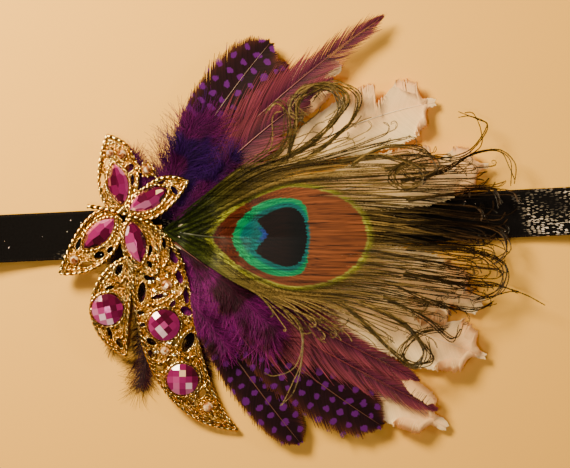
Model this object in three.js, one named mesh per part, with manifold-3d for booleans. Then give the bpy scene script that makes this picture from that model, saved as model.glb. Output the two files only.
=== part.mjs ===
// Flapper headband: a black stretch band laid flat, with a fan of feathers and a pierced butterfly brooch.
// Millimetres, +Z up. The origin is under the middle of the band, on the surface that it lies on.
// +X runs along the band, towards the tip of the peacock feather, and +Y is the upper side of the fan.
import * as THREE from "three";
import { mergeVertices } from "three/addons/utils/BufferGeometryUtils.js";
import Module from "manifold-3d";

const wasm = await Module();
wasm.setup();

// The stretch band, a whole loop that lies folded flat.
const BAND_LENGTH = 540;
const BAND_WIDTH = 16;
const BAND_THICKNESS = 1.1;
const BAND_REST_GAP = 0.5;
const BAND_FOLD_HEIGHT = 9;
const BAND_RAMP = 55;

// The hub, where the quills meet on the band, and the bar that carries the brooch over it.
const HUB_X = -42;
const TRIM_TURN = -2.8;
const BAR_LENGTH = 11;
const BAR_WIDTH = 4;
const BAR_OFFSET = -5;
const SEAT_GAP = 0.3;

// The feathers lie in layers: each climbs from its seat on the band to its own height.
const QUILL_START = 6.2;
const QUILL_WIDTH = 0.7;
const FEATHER_THICKNESS = 0.5;
const QUILL_STEP = 0.8;
const CROSSING_START = 7;
const CROSSING_END = 11;
const LAYER_STEP = 0.8;
const CLIMB_START = 19;
const CLIMB_END = 32;
const DROOP_AT_REACH = 1;
const REACH = 100;

// The brooch, a domed casting whose long leaf comes down to the surface.
const BROOCH_AT = [-12, 6.3];
const PLATE_THICKNESS = 1.2;
const RIM_WIDTH = 1.5;
const RIM_HEIGHT = 2.3;
const SCROLL_WIDTH = 0.9;
const SCROLL_HEIGHT = 1.9;
const BEZEL_WALL = 0.8;
const BEZEL_HEIGHT = 2.2;
const STONE_CLEARANCE = 0.3;
const CROWN_CLEARANCE = 2.4;
const TIP_CLEARANCE = 0.25;
const DOME_CENTRE = [4, -6];

// The stones.
const MARQUISE_LENGTH = 14;
const MARQUISE_WIDTH = 6.6;
const ROUND_DIAMETER = 10.4;
const STONE_HEIGHT = 3;
const CHATON_HEIGHT = 1.9;

const GOLD = new THREE.MeshStandardMaterial({ color: 0xd9a441, roughness: 0.3, metalness: 1 });
const VELVET = new THREE.MeshStandardMaterial({ color: 0x0b0708, roughness: 0.8, metalness: 0 });
const AMETHYST = new THREE.MeshStandardMaterial({ color: 0xa02a78, roughness: 0.08, metalness: 0.2 });
const BLUSH = new THREE.MeshStandardMaterial({ color: 0xe6a284, roughness: 0.1, metalness: 0.2 });
const PEACOCK = new THREE.MeshStandardMaterial({ color: 0x6c5a1e, roughness: 0.6, metalness: 0 });
const GUINEA = new THREE.MeshStandardMaterial({ color: 0x1c0a14, roughness: 0.7, metalness: 0 });
const ROSE = new THREE.MeshStandardMaterial({ color: 0x8a3346, roughness: 0.6, metalness: 0 });
const PURPLE = new THREE.MeshStandardMaterial({ color: 0x4a0c52, roughness: 0.8, metalness: 0 });
const IVORY = new THREE.MeshStandardMaterial({ color: 0xf0d9b8, roughness: 0.6, metalness: 0 });

// Heights that follow from the sizes above.
const bandTop = 2 * BAND_THICKNESS + BAND_REST_GAP;
const quillSeat = bandTop + SEAT_GAP;
const broochSeat = bandTop + CROWN_CLEARANCE;

function solidOf(geometry) {
  const bare = geometry.clone();
  bare.deleteAttribute("normal");
  bare.deleteAttribute("uv");
  const merged = mergeVertices(bare, 1e-4);
  return new wasm.Manifold(
    new wasm.Mesh({
      numProp: 3,
      vertProperties: new Float32Array(merged.attributes.position.array),
      triVerts: new Uint32Array(merged.index.array),
    }),
  );
}

function geometryOf(solid) {
  const mesh = solid.getMesh();
  const geometry = new THREE.BufferGeometry();
  geometry.setAttribute("position", new THREE.BufferAttribute(new Float32Array(mesh.vertProperties), 3));
  geometry.setIndex(new THREE.BufferAttribute(new Uint32Array(mesh.triVerts), 1));
  geometry.computeVertexNormals();
  return geometry;
}

function fused(geometries) {
  return geometryOf(geometries.map(solidOf).reduce((whole, next) => whole.add(next)));
}

function piece(name, geometry, material) {
  const mesh = new THREE.Mesh(geometry, material);
  mesh.name = name;
  return mesh;
}

// A closed body through rings of the same number of points, each ring anticlockwise seen from above.
function loft(rings) {
  const count = rings[0].length;
  const positions = rings.flat().flatMap((point) => [point.x, point.y, point.z]);
  const faces = [];
  for (let ring = 0; ring + 1 < rings.length; ring += 1) {
    for (let side = 0; side < count; side += 1) {
      const a = ring * count + side;
      const b = ring * count + ((side + 1) % count);
      faces.push(a, b, b + count, a, b + count, a + count);
    }
  }
  const top = (rings.length - 1) * count;
  for (let side = 1; side + 1 < count; side += 1) {
    faces.push(0, side + 1, side);
    faces.push(top, top + side, top + side + 1);
  }
  const geometry = new THREE.BufferGeometry();
  geometry.setAttribute("position", new THREE.Float32BufferAttribute(positions, 3));
  geometry.setIndex(faces);
  return geometry;
}

function smoothStep(value) {
  const share = Math.min(1, Math.max(0, value));
  return share * share * (3 - 2 * share);
}

// The band: the centreline of the folded loop, offset both ways by half its thickness.
function bandGeometry() {
  const half = BAND_THICKNESS / 2;
  const foldRadius = BAND_FOLD_HEIGHT / 2 - half;
  const lowRun = BAND_THICKNESS + BAND_REST_GAP + half;
  const highRun = half + 2 * foldRadius;
  const foldSteps = 12;
  const rampSteps = 8;
  const rampExtra = (Math.PI * (highRun - lowRun)) ** 2 / (16 * BAND_RAMP);
  const reach = (BAND_LENGTH - 2 * Math.PI * foldRadius - 2 * rampExtra) / 4;
  const contour = (offset) => {
    const points = [];
    for (let step = 0; step <= foldSteps; step += 1) {
      const angle = -Math.PI / 2 + (Math.PI * step) / foldSteps;
      const radius = foldRadius + offset;
      points.push([reach + radius * Math.cos(angle), half + foldRadius + radius * Math.sin(angle)]);
    }
    for (let step = 1; step <= rampSteps; step += 1) {
      const share = step / rampSteps;
      const height = highRun + (lowRun - highRun) * smoothStep(share);
      const slope = ((highRun - lowRun) * 6 * share * (1 - share)) / BAND_RAMP;
      const length = Math.hypot(1, slope);
      points.push([reach - BAND_RAMP * share - (offset * slope) / length, height + offset / length]);
    }
    const mirrored = points.map(([x, z]) => [-x, z]).reverse();
    return [...points, ...mirrored].map(([x, z]) => new THREE.Vector2(x, z));
  };
  const outline = new THREE.Shape(contour(half));
  outline.holes.push(new THREE.Path(contour(-half).reverse()));
  const geometry = new THREE.ExtrudeGeometry(outline, { depth: BAND_WIDTH, bevelEnabled: false });
  geometry.translate(0, 0, -BAND_WIDTH / 2);
  geometry.rotateX(Math.PI / 2);
  return geometry;
}

function barGeometry() {
  const height = broochSeat - bandTop - 2 * SEAT_GAP;
  const geometry = new THREE.BoxGeometry(BAR_LENGTH, BAR_WIDTH, height);
  geometry.translate(BAR_OFFSET, 0, quillSeat + height / 2);
  return geometry;
}

// The height of a layer's underside at a distance from the hub.
function layerHeight(layer, base, radius) {
  const crossing = smoothStep((radius - CROSSING_START) / (CROSSING_END - CROSSING_START));
  const climb = smoothStep((radius - CLIMB_START) / (CLIMB_END - CLIMB_START));
  const droop = DROOP_AT_REACH * (radius / REACH) ** 2;
  return quillSeat + base * QUILL_STEP * crossing + layer * LAYER_STEP * climb - droop;
}

// A thin strip with a ridge along its middle, laid on its layer. The path holds x, y and the half width each side.
function strip(path, layer, base) {
  const rings = path.map(([x, y, left, right], index) => {
    const before = path[Math.max(0, index - 1)];
    const after = path[Math.min(path.length - 1, index + 1)];
    const along = new THREE.Vector2(after[0] - before[0], after[1] - before[1]).normalize();
    const point = (side, lift) => {
      const px = x - along.y * side;
      const py = y + along.x * side;
      const height = layerHeight(layer, base, Math.hypot(px, py));
      return new THREE.Vector3(px, py, height + lift * FEATHER_THICKNESS);
    };
    return [point(left, 0.5), point(0, 1), point(-right, 0.5), point(0, 0)];
  });
  return loft(rings);
}

function prism(outline, height) {
  return new THREE.ExtrudeGeometry(new THREE.Shape(outline), { depth: height, bevelEnabled: false });
}

// Every point of a geometry lifted by a height that depends on its place.
function lifted(geometry, heightAt) {
  const position = geometry.getAttribute("position");
  for (let index = 0; index < position.count; index += 1) {
    const lift = heightAt(position.getX(index), position.getY(index));
    position.setZ(index, position.getZ(index) + lift);
  }
  geometry.computeVertexNormals();
  return geometry;
}

// Flat locks fused where they cross, then laid on their layer.
function sheet(locks, layer, base) {
  return lifted(fused(locks), (x, y) => layerHeight(layer, base, Math.hypot(x, y)));
}

// A flat lock along a line, with a half width for each of its points.
function flatLock(line, halfWidthAt) {
  return loft(line.map(([x, y], index) => {
    const along = lineDirection(line, index);
    const half = halfWidthAt(index / (line.length - 1));
    const at = (side, z) => new THREE.Vector3(x - along.y * side, y + along.x * side, z);
    return [at(half, 0), at(half, FEATHER_THICKNESS), at(-half, FEATHER_THICKNESS), at(-half, 0)];
  }));
}

function lineDirection(line, index) {
  const before = line[Math.max(0, index - 1)];
  const after = line[Math.min(line.length - 1, index + 1)];
  return new THREE.Vector2(after[0] - before[0], after[1] - before[1]).normalize();
}

// Points along a bent line from start to tip, which bends towards a point between them.
function bentLine(start, bend, tip, steps) {
  const curve = new THREE.QuadraticBezierCurve(
    new THREE.Vector2(...start),
    new THREE.Vector2(...bend),
    new THREE.Vector2(...tip),
  );
  return curve.getPoints(steps).map((point) => [point.x, point.y]);
}

function shareAt(table, share, column) {
  const next = Math.max(1, table.findIndex((row) => row.along >= share));
  const low = table[next - 1];
  const high = table[next];
  return low[column] + ((high[column] - low[column]) * (share - low.along)) / (high.along - low.along);
}

// Half widths along each kind of vane, as shares of its widest half.
const VANES = {
  goose: [
    { along: 0, width: 0.03 },
    { along: 0.3, width: 0.05 },
    { along: 0.45, width: 0.55 },
    { along: 0.65, width: 0.95 },
    { along: 0.8, width: 1 },
    { along: 0.92, width: 0.7 },
    { along: 1, width: 0.12 },
  ],
  guinea: [
    { along: 0, width: 0.03 },
    { along: 0.3, width: 0.08 },
    { along: 0.42, width: 0.75 },
    { along: 0.6, width: 1 },
    { along: 0.78, width: 0.95 },
    { along: 0.92, width: 0.62 },
    { along: 1, width: 0.15 },
  ],
  hackle: [
    { along: 0, width: 0.03 },
    { along: 0.24, width: 0.1 },
    { along: 0.36, width: 0.9 },
    { along: 0.5, width: 1 },
    { along: 0.68, width: 0.62 },
    { along: 0.85, width: 0.32 },
    { along: 1, width: 0.06 },
  ],
};

// The single feathers. The quill lies on the band at the turn, and the bend and tip are seen from the hub.
const FEATHERS = [
  { name: "goose_feather_1", kind: "goose", turn: 32, bend: [58, 38], tip: [92, 43], half: 11, layer: 1 },
  { name: "goose_feather_2", kind: "goose", turn: 53, bend: [33, 38], tip: [60, 56], half: 8, layer: 2 },
  { name: "goose_feather_3", kind: "goose", turn: 16, bend: [60, 15], tip: [110, 22], half: 10, layer: 2 },
  { name: "goose_feather_4", kind: "goose", turn: -18, bend: [60, -12], tip: [108, -24], half: 12, layer: 1 },
  { name: "goose_feather_5", kind: "goose", turn: -27, bend: [62, -25], tip: [109, -42], half: 11, layer: 2 },
  { name: "goose_feather_6", kind: "goose", turn: -45, bend: [56, -42], tip: [96, -66], half: 9, layer: 1 },
  { name: "guinea_feather_1", kind: "guinea", turn: 85, bend: [12.5, 34], tip: [37, 63], half: 9.5, layer: 4 },
  { name: "guinea_feather_2", kind: "guinea", turn: 73, bend: [18, 33], tip: [42.5, 56], half: 7, layer: 3 },
  { name: "guinea_feather_3", kind: "guinea", turn: -63, bend: [32, -38], tip: [74, -65], half: 11.5, layer: 4 },
  { name: "guinea_feather_4", kind: "guinea", turn: -73, bend: [20, -38], tip: [47, -71], half: 8, layer: 3 },
  { name: "hackle_feather_1", kind: "hackle", turn: 62, bend: [27, 38], tip: [75, 72], half: 9, layer: 5 },
  { name: "hackle_feather_2", kind: "hackle", turn: 43, bend: [27, 30], tip: [58, 51], half: 8.5, layer: 6 },
  { name: "hackle_feather_3", kind: "hackle", turn: -36, bend: [38, -26], tip: [87, -50], half: 7, layer: 6 },
  { name: "hackle_feather_4", kind: "hackle", turn: -54, bend: [37, -33], tip: [93, -60], half: 7.5, layer: 5 },
];
const FEATHER_STEPS = 12;

// The curled ends of the goose feathers: side 1 is left of the quill, and reach and hook are shares of the half width.
const GOOSE_CURLS = [
  { along: 0.7, side: 1, reach: 1.2, hook: 0.7 },
  { along: 0.76, side: -1, reach: 1.15, hook: 0.65 },
];
const CURL_HALF_WIDTH = 1.6;

function quillStart(turn) {
  const angle = THREE.MathUtils.degToRad(turn);
  return [QUILL_START * Math.cos(angle), QUILL_START * Math.sin(angle)];
}

function singleFeather(row) {
  const line = bentLine(quillStart(row.turn), row.bend, row.tip, FEATHER_STEPS);
  const vane = line.map(([x, y], index) => {
    const half = Math.max(QUILL_WIDTH / 2, row.half * shareAt(VANES[row.kind], index / FEATHER_STEPS, "width"));
    return [x, y, half, half];
  });
  const parts = [strip(vane, row.layer, 0)];
  if (row.kind === "goose") {
    parts.push(sheet(GOOSE_CURLS.map((curl) => gooseCurl(row, line, curl)), row.layer, 0));
  }
  return piece(row.name, fused(parts), { goose: IVORY, guinea: GUINEA, hackle: ROSE }[row.kind]);
}

// One lock of a goose feather, which leaves the vane's edge and hooks back on itself.
function gooseCurl(row, line, curl) {
  const index = Math.round(curl.along * (line.length - 1));
  const [x, y] = line[index];
  const along = lineDirection(line, index);
  const across = new THREE.Vector2(-along.y, along.x).multiplyScalar(curl.side);
  const reach = row.half * curl.reach;
  const hook = row.half * curl.hook;
  const at = (forward, out) => new THREE.Vector2(
    x + along.x * forward + across.x * out,
    y + along.y * forward + across.y * out,
  );
  const curve = new THREE.CubicBezierCurve(
    at(0, reach * 0.35),
    at(hook * 1.3, reach * 0.75),
    at(hook * 1.5, reach * 1.3),
    at(hook * 0.1, reach * 1.28),
  );
  const middle = curve.getPoints(4).map((point) => [point.x, point.y]);
  return flatLock(middle, (share) => CURL_HALF_WIDTH * (1 - 0.75 * share * share));
}

// The fluff: locks on both sides of a short shaft. Lengths are shares of the shaft's own length.
const FLUFFS = [
  { name: "fluff_upper", start: [5.5, 11.5], bend: [6, 22], tip: [9, 40], left: 0.38, right: 0.66,
    pairs: 4, layer: 7, base: 1 },
  { name: "fluff_lower", start: [11, -7], bend: [22, -14], tip: [40, -36], left: 0.3, right: 0.5,
    pairs: 4, layer: 7, base: 1 },
  { name: "fluff_left", start: [-1.9, -6.3], bend: [-6, -30], tip: [-4, -57], left: 0.12, right: 0.22,
    pairs: 3, layer: -2, base: 0 },
];
const LOCK_HALF_WIDTH = 2;
const LOCK_SPREAD = 52;

function fluff(row) {
  const shaft = bentLine(row.start, row.bend, row.tip, 3 * row.pairs);
  const long = Math.hypot(row.tip[0] - row.start[0], row.tip[1] - row.start[1]);
  const lockWidth = (share) => LOCK_HALF_WIDTH * Math.sin(Math.PI * (0.14 + 0.76 * share));
  const locks = [flatLock(shaft, (share) => 0.7 + 1.2 * share)];
  for (let pair = 0; pair < row.pairs; pair += 1) {
    const share = (pair + 1) / (row.pairs + 1);
    const index = Math.round(share * (shaft.length - 1));
    const along = lineDirection(shaft, index);
    [["left", 1], ["right", -1]].forEach(([side, sign]) => {
      const ragged = 1 - 0.22 * ((pair + (sign > 0 ? 1 : 0)) % 2);
      const length = long * row[side] * ragged;
      const outward = along.clone().rotateAround(new THREE.Vector2(), sign * THREE.MathUtils.degToRad(LOCK_SPREAD));
      const root = new THREE.Vector2(...shaft[index]);
      const bend = root.clone().addScaledVector(outward, length * 0.6);
      const tip = bend.clone().addScaledVector(along, length * 0.35).addScaledVector(outward, length * 0.15);
      locks.push(flatLock(bentLine(root.toArray(), bend.toArray(), tip.toArray(), 4), lockWidth));
    });
  }
  return piece(row.name, sheet(locks, row.layer, row.base), PURPLE);
}

// The peacock feather: a dense eye on one quill, then loose locks. Places are from the hub.
const PEACOCK_START = [6.5, -0.5];
const PEACOCK_BEND = [40, -1];
const PEACOCK_END = [84, 2];
const PEACOCK_HALF = 25;
const PEACOCK_LAYER = 9;
const PEACOCK_VANE = [
  { along: 0, left: 0.03, right: 0.03 },
  { along: 0.05, left: 0.28, right: 0.2 },
  { along: 0.13, left: 0.6, right: 0.44 },
  { along: 0.22, left: 0.82, right: 0.6 },
  { along: 0.33, left: 0.98, right: 0.76 },
  { along: 0.42, left: 0.92, right: 0.86 },
  { along: 0.52, left: 0.86, right: 0.92 },
  { along: 0.66, left: 0.9, right: 0.98 },
  { along: 0.8, left: 0.98, right: 1.06 },
  { along: 0.92, left: 0.96, right: 1.04 },
  { along: 1, left: 0.72, right: 0.8 },
];
const HERL_HALF_WIDTH = 1.3;
const HERLS = [
  { root: [37, 22], bend: [51, 29], tip: [54, 46], curl: 9 },
  { root: [42, 21], bend: [62, 28], tip: [67, 40], curl: 7 },
  { root: [75, 21], bend: [88, 27], tip: [104, 20], curl: 6 },
  { root: [80, 17], bend: [96, 18], tip: [112, 27], curl: 5 },
  { root: [82, 10], bend: [98, 12], tip: [114, 8], curl: 0 },
  { root: [82, 3], bend: [100, 2], tip: [118, -2], curl: -5 },
  { root: [82, -6], bend: [101, -6], tip: [116, -13], curl: -5 },
  { root: [81, -14], bend: [96, -18], tip: [110, -27], curl: 4 },
  { root: [78, -21], bend: [88, -27], tip: [97, -36], curl: -6 },
  { root: [72, -24], bend: [80, -33], tip: [85, -46], curl: 5 },
  { root: [48, -20], bend: [54, -28], tip: [45, -54], curl: 0 },
];

function herl(row) {
  const line = bentLine(row.root, row.bend, row.tip, 4);
  let heading = lineDirection(line, line.length - 1).angle();
  let [x, y] = row.tip;
  for (let step = 0; step < (row.curl ? 4 : 0); step += 1) {
    heading += Math.sign(row.curl) * 0.75;
    x += Math.abs(row.curl) * 0.5 * Math.cos(heading);
    y += Math.abs(row.curl) * 0.5 * Math.sin(heading);
    line.push([x, y]);
  }
  return flatLock(line, (share) => HERL_HALF_WIDTH * (1 - 0.6 * share));
}

function peacock() {
  const steps = 20;
  const vane = bentLine(PEACOCK_START, PEACOCK_BEND, PEACOCK_END, steps).map(([x, y], index) => {
    const [left, right] = ["left", "right"].map((side) => {
      return PEACOCK_HALF * shareAt(PEACOCK_VANE, index / steps, side);
    });
    return [x, y, left, right];
  });
  const locks = sheet(HERLS.map(herl), PEACOCK_LAYER, 2);
  return piece("peacock_feather", fused([strip(vane, PEACOCK_LAYER, 2), locks]), PEACOCK);
}

// The brooch's four wings and two leaves. Handles are shares of the length, along it and to its left.
const LEAVES = [
  { name: "wing_1", root: [0, 0.8], length: 25.4, turn: 102.8, left: [0, 0.38, 0.6, 0.27],
    right: [0.15, -0.27, 0.75, -0.52] },
  { name: "wing_2", root: [1.5, 0.5], length: 22.1, turn: 25.8, left: [0.25, 0.22, 0.75, 0.38],
    right: [0.05, -0.42, 0.65, -0.27] },
  { name: "wing_3", root: [-2, -1], length: 27.3, turn: 225.3, left: [0.05, 0.3, 0.65, 0.45],
    right: [0, -0.36, 0.6, -0.22] },
  { name: "wing_4", root: [1.5, -2], length: 21.2, turn: -63.4, left: [0, 0.32, 0.55, 0.34],
    right: [0.15, -0.28, 0.75, -0.52] },
  { name: "small_leaf", root: [1.4, -14.8], length: 33.2, turn: -90.9, left: [0.3, 0.07, 0.7, -0.02],
    right: [0.15, -0.39, 0.75, -0.56] },
  { name: "long_leaf", root: [3.6, -2.4], length: 78.3, turn: -64.1, left: [0.2, 0.28, 0.62, -0.12],
    right: [0.3, -0.19, 0.8, -0.36] },
];
const EDGE_STEP = 5;

// The body line runs on as the long leaf's upper rim. The arms hold the cup between the upper wings.
const BODY_LINE = [[-12.1, 2], [-6.5, 1.2], [-0.4, -0.4], [4.4, -2]];
const CUP_ARMS = [
  [[3.6, 14.5], [7.6, 14.1]],
  [[7.6, 14.1], [11.5, 10.8]],
  [[1.5, 1], [4.2, 6.6], [4.4, 10]],
];

// Raised scrolls inside the leaves.
const SCROLLS = [
  [[9.5, -17], [12, -13], [12.6, -8]],
  [[12.6, -19], [15, -15], [14.4, -10]],
  [[12.6, -19], [16.5, -20.5], [18.6, -17.5]],
  [[17, -29], [20, -26], [20.5, -21]],
  [[7.4, -31], [12, -30.5], [16.6, -27.8]],
  [[17.5, -46], [19, -42], [22.8, -38.5]],
  [[17.5, -46], [20, -48.5], [23.6, -48]],
  [[6.8, -41.5], [8, -45], [11, -45.6]],
  [[7.8, -49], [11.5, -50.5], [15.4, -49]],
  [[23, -64], [24.5, -60], [27.4, -57.6]],
  [[-4.2, -21.5], [-2.6, -17.8], [0.2, -17]],
  [[-4.2, -21.5], [-1.2, -23.6], [0.8, -21.2]],
];

// Openings cut through the plate: where, how long and wide, and how turned.
const OPENINGS = [
  { at: [1.8, 14.6], long: 2.6, wide: 1.8, turn: 40 },
  { at: [2.7, 10.4], long: 3.2, wide: 1.1, turn: 85 },
  { at: [-7.2, 10.6], long: 3.4, wide: 1.1, turn: 84 },
  { at: [-5.6, 16.6], long: 2.2, wide: 1, turn: 70 },
  { at: [11.4, 9], long: 4.6, wide: 1, turn: 33 },
  { at: [16.8, 7.2], long: 2.6, wide: 1.2, turn: -50 },
  { at: [-15, -10.6], long: 3.2, wide: 1.2, turn: 66 },
  { at: [-8.2, -14.4], long: 2.6, wide: 2, turn: 20 },
  { at: [-12.4, -17.4], long: 3, wide: 1.4, turn: 8 },
  { at: [-4.6, -12.6], long: 2, wide: 1.2, turn: 50 },
  { at: [8.6, -12.8], long: 2.8, wide: 1.4, turn: 80 },
  { at: [8.6, -17.4], long: 2, wide: 1.2, turn: -60 },
  { at: [13, -9.4], long: 4.4, wide: 1.2, turn: -76 },
  { at: [11.2, -14.4], long: 4, wide: 1.1, turn: -84 },
  { at: [16.2, -14.2], long: 4.8, wide: 2, turn: -64 },
  { at: [18.4, -21.6], long: 3.6, wide: 1.6, turn: -70 },
  { at: [20.8, -27.6], long: 4.6, wide: 1.5, turn: -86 },
  { at: [-1.6, -19.2], long: 3.2, wide: 1.6, turn: 68 },
  { at: [-4.6, -25.2], long: 2.4, wide: 1, turn: 20 },
  { at: [-4.8, -40.2], long: 3.4, wide: 1.1, turn: -72 },
  { at: [-1.4, -43.6], long: 2.8, wide: 1.5, turn: -60 },
  { at: [-7.8, -40], long: 2, wide: 1, turn: -60 },
  { at: [6, -26.8], long: 5.2, wide: 1.9, turn: 84 },
  { at: [8.6, -22], long: 3, wide: 1.6, turn: -20 },
  { at: [12, -28], long: 4.4, wide: 1.2, turn: 14 },
  { at: [16.2, -30.8], long: 2.2, wide: 1.2, turn: 60 },
  { at: [20.8, -33], long: 3.2, wide: 2, turn: -30 },
  { at: [5.4, -33.6], long: 2.4, wide: 1.2, turn: 10 },
  { at: [6, -37.6], long: 2.4, wide: 1, turn: 0 },
  { at: [9.2, -43.2], long: 2.8, wide: 1.6, turn: -30 },
  { at: [9, -47.4], long: 2.4, wide: 1.5, turn: -50 },
  { at: [17, -43.2], long: 2.6, wide: 1.6, turn: 50 },
  { at: [21.4, -43.4], long: 5.2, wide: 2.6, turn: 66 },
  { at: [11.6, -52.2], long: 2.4, wide: 1.2, turn: -30 },
  { at: [16, -50.2], long: 2.2, wide: 1, turn: 10 },
  { at: [12.8, -56.4], long: 3, wide: 1.2, turn: -62 },
  { at: [25.9, -60.4], long: 3, wide: 1.8, turn: 62 },
  { at: [22.4, -63.4], long: 2.4, wide: 1, turn: -50 },
];

const MARQUISES = [
  { name: "marquise_1", at: [-1.8, 9.1], turn: 100 },
  { name: "marquise_2", at: [8.3, 4.3], turn: 29 },
  { name: "marquise_3", at: [-8.2, -7.2], turn: 224 },
  { name: "marquise_4", at: [4, -9.9], turn: -77 },
];
const ROUNDS = [
  { name: "round_stone_1", at: [-5.3, -32.4], turn: 12 },
  { name: "round_stone_2", at: [13.5, -37.6], turn: 40 },
  { name: "round_stone_3", at: [19.6, -55.8], turn: 0 },
];
const CHATONS = [
  { name: "chaton_1", at: [-4.6, 19.6], across: 2.6 },
  { name: "chaton_2", at: [-0.7, 19.2], across: 3.2 },
  { name: "chaton_3", at: [7.6, 14.1], across: 3.4 },
  { name: "chaton_4", at: [-16.4, -16], across: 3 },
  { name: "chaton_5", at: [14.3, -24.4], across: 3.6 },
  { name: "chaton_6", at: [13.7, -46.4], across: 3.2 },
  { name: "chaton_7", at: [28, -65.2], across: 3.4 },
];

function leafEdge(leaf, side) {
  const angle = THREE.MathUtils.degToRad(leaf.turn);
  const along = new THREE.Vector2(Math.cos(angle), Math.sin(angle)).multiplyScalar(leaf.length);
  const across = new THREE.Vector2(-along.y, along.x);
  const root = new THREE.Vector2(...leaf.root);
  const at = (forward, out) => root.clone().addScaledVector(along, forward).addScaledVector(across, out);
  const [nearForward, nearOut, farForward, farOut] = leaf[side];
  const curve = new THREE.CubicBezierCurve(
    at(0, 0),
    at(nearForward, nearOut),
    at(farForward, farOut),
    at(1, 0),
  );
  return curve.getSpacedPoints(Math.max(7, Math.round(leaf.length / EDGE_STEP)));
}

// A leaf's outline, anticlockwise: out along the right edge and back along the left.
function leafOutline(leaf) {
  const out = leafEdge(leaf, "right");
  const back = leafEdge(leaf, "left").reverse();
  return [...out, ...back.slice(1, -1)];
}

// Half of a rib's section, as shares of its half width and height.
const RIM_SECTION = [[1, 0], [1, 0.6], [0, 1], [-1, 0.6], [-1, 0]];
const SCROLL_SECTION = [[1, 0], [0.5, 1], [-0.5, 1], [-1, 0]];

// A raised rib along a line: flat underneath, and narrower on top.
function rib(points, width, height, section) {
  const rings = points.map((point, index) => {
    const before = points[Math.max(0, index - 1)];
    const after = points[Math.min(points.length - 1, index + 1)];
    const along = after.clone().sub(before).normalize();
    return section.map(([side, rise]) => {
      const out = (side * width) / 2;
      return new THREE.Vector3(point.x - along.y * out, point.y + along.x * out, rise * height);
    });
  });
  return loft(rings);
}

function scroll(points, steps) {
  const curve = new THREE.SplineCurve(points.map((point) => new THREE.Vector2(...point)));
  return rib(curve.getPoints(steps), SCROLL_WIDTH, SCROLL_HEIGHT, SCROLL_SECTION);
}

function placed(points, row) {
  const angle = THREE.MathUtils.degToRad(row.turn ?? 0);
  const centre = new THREE.Vector2(...row.at);
  return points.map((point) => point.clone().rotateAround(new THREE.Vector2(), angle).add(centre));
}

function ellipse(long, wide, count) {
  const points = [];
  for (let step = 0; step < count; step += 1) {
    const angle = (2 * Math.PI * step) / count;
    points.push(new THREE.Vector2((long / 2) * Math.cos(angle), (wide / 2) * Math.sin(angle)));
  }
  return points;
}

// A marquise outline: two arcs that meet in points.
function marquiseOutline(grow) {
  const half = MARQUISE_LENGTH / 2 + grow * 1.5;
  const depth = MARQUISE_WIDTH / 2 + grow;
  const radius = (half * half + depth * depth) / (2 * depth);
  const sweep = Math.asin(half / radius);
  const points = [];
  const steps = 6;
  [-1, 1].forEach((side) => {
    for (let step = 0; step < steps; step += 1) {
      const angle = -sweep + (2 * sweep * step) / steps;
      const out = radius * Math.cos(angle) - radius + depth;
      points.push(new THREE.Vector2(-side * radius * Math.sin(angle), side * out));
    }
  });
  return points;
}

function broochDome(x, y) {
  const tip = leafEdge(LEAVES[LEAVES.length - 1], "left").at(-1);
  const centre = new THREE.Vector2(...DOME_CENTRE);
  const axis = tip.clone().sub(centre);
  const fall = broochSeat - TIP_CLEARANCE;
  const share = new THREE.Vector2(x, y).sub(centre).dot(axis) / axis.lengthSq();
  return broochSeat - fall * share * share;
}

// Everything on the brooch is bent to its dome by the same rule.
function domed(geometry) {
  return lifted(geometry, broochDome).translate(BROOCH_AT[0], BROOCH_AT[1], 0);
}

function chatonRing(row, grow) {
  const across = row.across + 2 * grow;
  return placed(ellipse(across, across, 8), row);
}

function roundRing(row, grow) {
  const across = ROUND_DIAMETER + 2 * grow;
  return placed(ellipse(across, across, 12), row);
}

function broochFrame() {
  let frame = solidOf(fused(LEAVES.map((leaf) => prism(leafOutline(leaf), PLATE_THICKNESS))));
  OPENINGS.forEach((row) => {
    const cut = prism(placed(ellipse(row.long, row.wide, 6), row), 3 * PLATE_THICKNESS);
    frame = frame.subtract(solidOf(cut.translate(0, 0, -PLATE_THICKNESS)));
  });
  const raised = [];
  LEAVES.forEach((leaf) => {
    ["left", "right"].forEach((side) => {
      raised.push(rib(leafEdge(leaf, side), RIM_WIDTH, RIM_HEIGHT, RIM_SECTION));
    });
  });
  raised.push(rib(BODY_LINE.map((point) => new THREE.Vector2(...point)), RIM_WIDTH, RIM_HEIGHT, RIM_SECTION));
  CUP_ARMS.forEach((points) => raised.push(scroll(points, 2)));
  SCROLLS.forEach((points) => raised.push(scroll(points, 3)));
  raised.forEach((geometry) => {
    frame = frame.add(solidOf(geometry));
  });
  const grow = STONE_CLEARANCE + BEZEL_WALL;
  const settings = [
    ...MARQUISES.map((row) => [placed(marquiseOutline(grow), row), placed(marquiseOutline(STONE_CLEARANCE), row)]),
    ...ROUNDS.map((row) => [roundRing(row, grow), roundRing(row, STONE_CLEARANCE)]),
    ...CHATONS.map((row) => [chatonRing(row, grow), chatonRing(row, STONE_CLEARANCE)]),
  ];
  settings.forEach(([outer]) => {
    frame = frame.add(solidOf(prism(outer, BEZEL_HEIGHT)));
  });
  settings.forEach(([, inner]) => {
    frame = frame.subtract(solidOf(prism(inner, 2 * BEZEL_HEIGHT).translate(0, 0, PLATE_THICKNESS)));
  });
  return piece("brooch_frame", domed(geometryOf(frame)), GOLD);
}

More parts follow.
